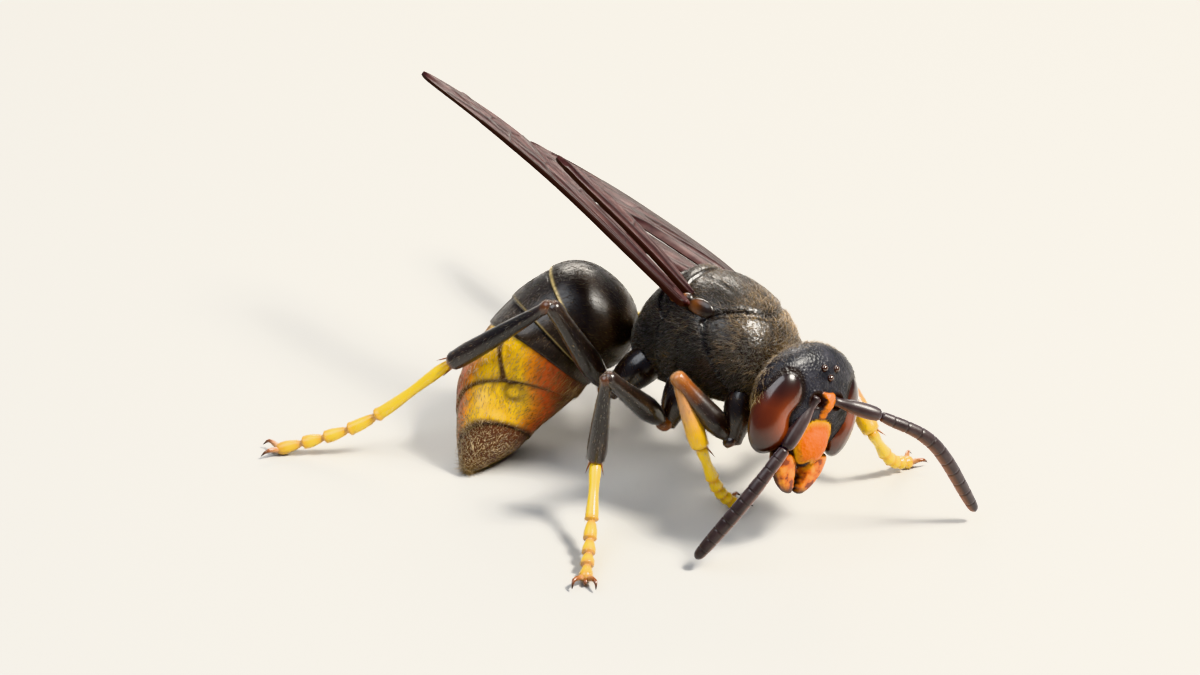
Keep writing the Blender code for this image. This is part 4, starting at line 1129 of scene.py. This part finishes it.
def readSkin(skin, names):
    # places in millimetres, normals, triangles and masks of a finished skin
    mesh = skin.data
    mesh.calc_loop_triangles()
    triangles = np.empty(len(mesh.loop_triangles) * 3, np.int64)
    mesh.loop_triangles.foreach_get("vertices", triangles)
    places = np.empty(len(mesh.vertices) * 3)
    mesh.vertices.foreach_get("co", places)
    normals = np.empty(len(mesh.vertices) * 3)
    mesh.vertices.foreach_get("normal", normals)
    masks = {}
    for name in ("lengthShare", "turnShare", *names):
        masks[name] = np.empty(len(mesh.vertices))
        mesh.attributes[name].data.foreach_get("value", masks[name])
    places = places.reshape(-1, 3) / stand["toMetres"] - np.array(stand["place"])
    return places, normals.reshape(-1, 3), triangles.reshape(-1, 3), masks


def pickRoots(skins, coat, thickness, draw):
    # roots spread over the skins by area and thickness, with the normal and the masks at each
    found = []
    for skin in skins:
        places, normals, triangles, masks = readSkin(skin, coat["masks"])
        corners = places[triangles]
        area = np.linalg.norm(np.cross(corners[:, 1] - corners[:, 0], corners[:, 2] - corners[:, 0]), axis=1)
        faceMasks = {key: values[triangles].mean(1) for key, values in masks.items()}
        faceMasks["turnShare"] = masks["turnShare"][triangles[:, 0]]
        found.append((corners, normals[triangles], faceMasks, area * np.clip(thickness(faceMasks), 0, None)))
    total = sum(weight.sum() for *_, weight in found)
    grown = []
    for corners, cornerNormals, faceMasks, weight in found:
        count = int(round(coat["count"] * weight.sum() / total))
        if count:
            chosen = draw.choice(len(weight), count, p=weight / weight.sum())
            mix = draw.dirichlet((1, 1, 1), count)
            roots = (corners[chosen] * mix[:, :, None]).sum(1)
            ups = unit((cornerNormals[chosen] * mix[:, :, None]).sum(1))
            grown.append((roots, ups, {key: values[chosen] for key, values in faceMasks.items()}))
    masks = {key: np.concatenate([part[2][key] for part in grown]) for key in grown[0][2]}
    return np.concatenate([part[0] for part in grown]), np.concatenate([part[1] for part in grown]), masks


def growHair(name, skins, coat, thickness, lie, look):
    # thickness gives the share of hair for the masks, lie its direction at a root, look its length and shade
    draw = np.random.default_rng(coat["seed"])
    roots, ups, masks = pickRoots(skins, coat, thickness, draw)
    flow = lie(roots) + draw.normal(0, coat["spread"], roots.shape)
    flow = unit(flow - ups * (flow * ups).sum(1, keepdims=True))
    length, shade = look(roots, ups, masks)
    length = length * draw.uniform(*hair["lengthSpread"], len(roots))
    shade = np.clip(shade + draw.normal(0, coat["shadeSpread"], len(roots)), 0, 1)
    rise = np.radians(coat["rise"] + draw.normal(0, coat["riseSpread"], len(roots)))
    template, faces = hairTemplate(coat["joints"])
    share = template[:, 2]
    forward = np.cos(rise)[:, None] * share + hair["bend"] * share ** 2
    upward = np.sin(rise)[:, None] * share - coat["droop"] * np.sin(rise)[:, None] * share ** 2
    thin = np.clip(length / coat["fullLength"], 0.5, 1)[:, None]
    width = coat["width"] * (1 - hair["taper"] * share) * thin
    sides = np.cross(ups, flow)
    across, over = template[None, :, 0:1], template[None, :, 1:2]
    points = roots[:, None] - ups[:, None] * hair["rootDepth"]
    reach = flow[:, None] * forward[:, :, None] + ups[:, None] * upward[:, :, None]
    points = points + length[:, None, None] * reach
    points = points + width[:, :, None] * (sides[:, None] * across + ups[:, None] * over)
    points[:, :, 2] = np.maximum(points[:, :, 2], hair["floorGap"])
    points = ((points + np.array(stand["place"])) * stand["toMetres"]).reshape(-1, 3)
    count, size = len(roots), len(template)
    triangles = (faces[None] + (np.arange(count) * size)[:, None, None]).reshape(-1, 3)
    mesh = bpy.data.meshes.new(name)
    mesh.from_pydata(points, [], triangles)
    spots = np.stack([masks["turnShare"], masks["lengthShare"]], 1).clip(0.004, 0.996)
    patch = np.stack([template[:, 0] * hair["patch"][0], (share - 0.5) * hair["patch"][1]], 1)
    marks = (spots[:, None] + patch[None]).reshape(-1, 2)[triangles.reshape(-1)]
    mesh.uv_layers.new(name="OFBake").data.foreach_set("uv", marks.reshape(-1))
    shades = np.repeat(shade, size).astype(np.float32)
    mesh.attributes.new("shade", "FLOAT", "POINT").data.foreach_set("value", shades)
    placePiece(name, mesh, fineHair)
    print(name, count, "hairs,", len(triangles), "triangles")


def oneWay(direction, down=0.0):
    # hair that points one way along the body, and a little down
    direction = np.array(direction, float) + np.array([0, 0, -down])
    return lambda roots: np.tile(direction, (len(roots), 1))


thoraxCoat = {"seed": 11, "count": 17000, "spread": 0.45, "shadeSpread": 0.14, "rise": 38, "riseSpread": 12,
              "joints": 2, "droop": 0.6, "width": 0.013, "fullLength": 0.45, "masks": ("furrow",)}
thoraxAhead = thoraxTurn @ np.array([1.0, 0, 0])
thoraxUp = thoraxTurn @ np.array([0, 0, 1.0])


def thoraxThickness(masks):
    return 1 - 0.92 * masks["furrow"]


def thoraxLook(roots, ups, masks):
    onTop = smoothStep(ups @ thoraxUp, 0.1, 0.8)
    ahead = smoothStep((roots - np.array([0, 0, thorax["height"]])) @ thoraxAhead, 0.5, 2.6)
    patch = np.sin(roots @ (1.7, 2.3, 0.9)) * np.sin(roots @ (-1.1, 1.3, 2.1) + 1.0)
    length = 0.36 - 0.10 * onTop + 0.08 * ahead
    # painted highlight: the hair is paler where it faces up, most of all towards the front; it is also paler
    # towards the front and in patches
    shade = 0.16 + 0.30 * onTop * (0.35 + 0.65 * ahead) + 0.10 * ahead + 0.12 * patch
    return length, shade


growHair("thoraxCoatA", [thoraxSkin], thoraxCoat,
         thoraxThickness, oneWay(-thoraxAhead, 0.35), thoraxLook)
growHair("thoraxCoatB", [thoraxSkin], dict(thoraxCoat, seed=12, rise=26, width=0.011),
         thoraxThickness, oneWay(-thoraxAhead, 0.55), thoraxLook)

headCoat = {"seed": 21, "count": 9000, "spread": 0.35, "shadeSpread": 0.15, "rise": 42, "riseSpread": 12,
            "joints": 2, "droop": 0.5, "width": 0.009, "fullLength": 0.25,
            "masks": ("frontMask", "clypeus", "socketMask", "shieldMask", "eyeRim")}
headAhead = headTurn @ np.array([1.0, 0, 0])
headUp = headTurn @ np.array([0, 0, 1.0])


def headThickness(masks):
    cover = 0.55 + 0.9 * (1 - masks["frontMask"])
    return cover * (1 - 0.80 * masks["clypeus"]) * (1 - masks["socketMask"]) * (1 - masks["shieldMask"] * 0.8)


def headLook(roots, ups, masks):
    behind = smoothStep(ups @ headAhead, 0.5, -0.4)
    rim = smoothStep(masks["eyeRim"], 0.2, 0.8) * smoothStep(ups @ headAhead, 0.35, -0.1)
    return 0.15 + 0.15 * behind + 0.08 * rim, 0.20 + 0.28 * behind + 0.45 * rim + 0.3 * masks["clypeus"]


growHair("headCoat", [headSkin], headCoat, headThickness,
         oneWay(-headUp * 0.6 + headAhead * 0.5), headLook)

gasterCoat = {"seed": 31, "count": 15000, "spread": 0.25, "shadeSpread": 0.12, "rise": 16, "riseSpread": 6,
              "joints": 2, "droop": 0.6, "width": 0.008, "fullLength": 0.22, "masks": ("yellow", "tip")}
tipCoat = {"seed": 32, "count": 6800, "spread": 0.34, "shadeSpread": 0.20, "rise": 40, "riseSpread": 14,
           "joints": 3, "droop": 0.5, "width": 0.012, "fullLength": 0.6, "masks": ()}


def gasterFlow(roots):
    nearest = np.array([np.argmin(((gasterLine - root) ** 2).sum(1)) for root in roots])
    return unit(np.gradient(gasterLine, axis=0))[nearest]


def gasterLook(roots, ups, masks):
    return 0.15 + 0.08 * masks["yellow"], 0.30 + 0.40 * masks["yellow"]


def tipThickness(masks):
    return smoothStep(masks["lengthShare"], 0.70, 0.90) + 0.10 * smoothStep(masks["lengthShare"], 0.45, 0.6)


def tipLook(roots, ups, masks):
    return 0.30 + 0.42 * smoothStep(masks["lengthShare"], 0.75, 0.9), 0.70


growHair("gasterCoat", [gasterSkin], gasterCoat, lambda masks: 1 - masks["tip"] * 0.6,
         gasterFlow, gasterLook)
growHair("gasterTipCoat", [gasterSkin], tipCoat, tipThickness, gasterFlow, tipLook)

legCoat = {"seed": 41, "count": 15000, "spread": 0.18, "shadeSpread": 0.14, "rise": 30, "riseSpread": 8,
           "joints": 2, "droop": 0.4, "width": 0.008, "fullLength": 0.2, "masks": ("tone",)}


def legFlow(roots):
    # along the nearest part of the nearest leg, towards its foot
    nearest = np.full(len(roots), 1e9)
    flow = np.zeros((len(roots), 3))
    for joints in leg["joints"].values():
        joints = np.array(joints, float)
        for start, end in zip(joints, joints[1:]):
            along = end - start
            share = np.clip((roots - start) @ along / (along @ along), 0, 1)
            away = np.linalg.norm(roots - start - share[:, None] * along, axis=1)
            flow[away < nearest] = along
            nearest = np.minimum(nearest, away)
    return unit(flow)


def legLook(roots, ups, masks):
    return 0.17, 0.35 + 0.45 * masks["tone"]


growHair("legCoat", legSkins, legCoat, lambda masks: 1.0, legFlow, legLook)
print("hair grown")


room = {
    "floorSize": 1.2, "floor": {"colour": (0.46, 0.45, 0.43), "roughness": 0.8, "specular": 0.2},
    "air": (0.80, 0.84, 0.92), "airStrength": 0.42, "viewTransform": "Khronos PBR Neutral",
    "camera": (66.251275, -79.639927, 64.876415), "aim": (-0.9, -1.2, 5.2), "lens": 92.0, "clip": (0.005, 10),
    # each light: place, size in metres, power, colour
    "lights": {"keyLight": ((72, 38, 118), (0.035, 0.035), 0.48, (1.0, 0.95, 0.86)),
               "skyLight": ((-40, -80, 150), (0.14, 0.14), 0.22, (0.92, 0.96, 1.0)),
               "rimLight": ((-90, 110, 90), (0.10, 0.06), 0.30, (1.0, 0.93, 0.82))},
    "lightAim": (0, 0, 5),
}


def makeFloor():
    bm = bmesh.new()
    bmesh.ops.create_grid(bm, x_segments=4, y_segments=4, size=room["floorSize"])
    mesh = bpy.data.meshes.new("paleFloor")
    bm.to_mesh(mesh)
    bm.free()
    mesh.materials.append(plainMaterial("palePaint", room["floor"]))
    placeObject("paleFloor", mesh)


def aimFrom(item, place, aim):
    item.location = Vector(place) * stand["toMetres"]
    towards = Vector(aim) * stand["toMetres"] - item.location
    item.rotation_euler = towards.to_track_quat("-Z", "Y").to_euler()


def addLight(name, place, size, power, colour):
    data = bpy.data.lights.new(name, "AREA")
    data.shape = "RECTANGLE"
    data.size, data.size_y = size
    data.energy = power
    data.color = colour
    aimFrom(placeObject(name, data), place, room["lightAim"])


def makeRoom():
    makeFloor()
    world = bpy.data.worlds.new("softRoom")
    world.use_nodes = True
    air = world.node_tree.nodes["Background"]
    air.inputs["Color"].default_value = (*room["air"], 1)
    air.inputs["Strength"].default_value = room["airStrength"]
    bpy.context.scene.world = world
    bpy.context.scene.view_settings.view_transform = room["viewTransform"]
    for name, light in room["lights"].items():
        addLight(name, *light)
    data = bpy.data.cameras.new("photoCamera")
    data.lens = room["lens"]
    data.clip_start, data.clip_end = room["clip"]
    camera = placeObject("photoCamera", data)
    aimFrom(camera, room["camera"], room["aim"])
    bpy.context.scene.camera = camera


makeRoom()
print("room, lights and camera made")
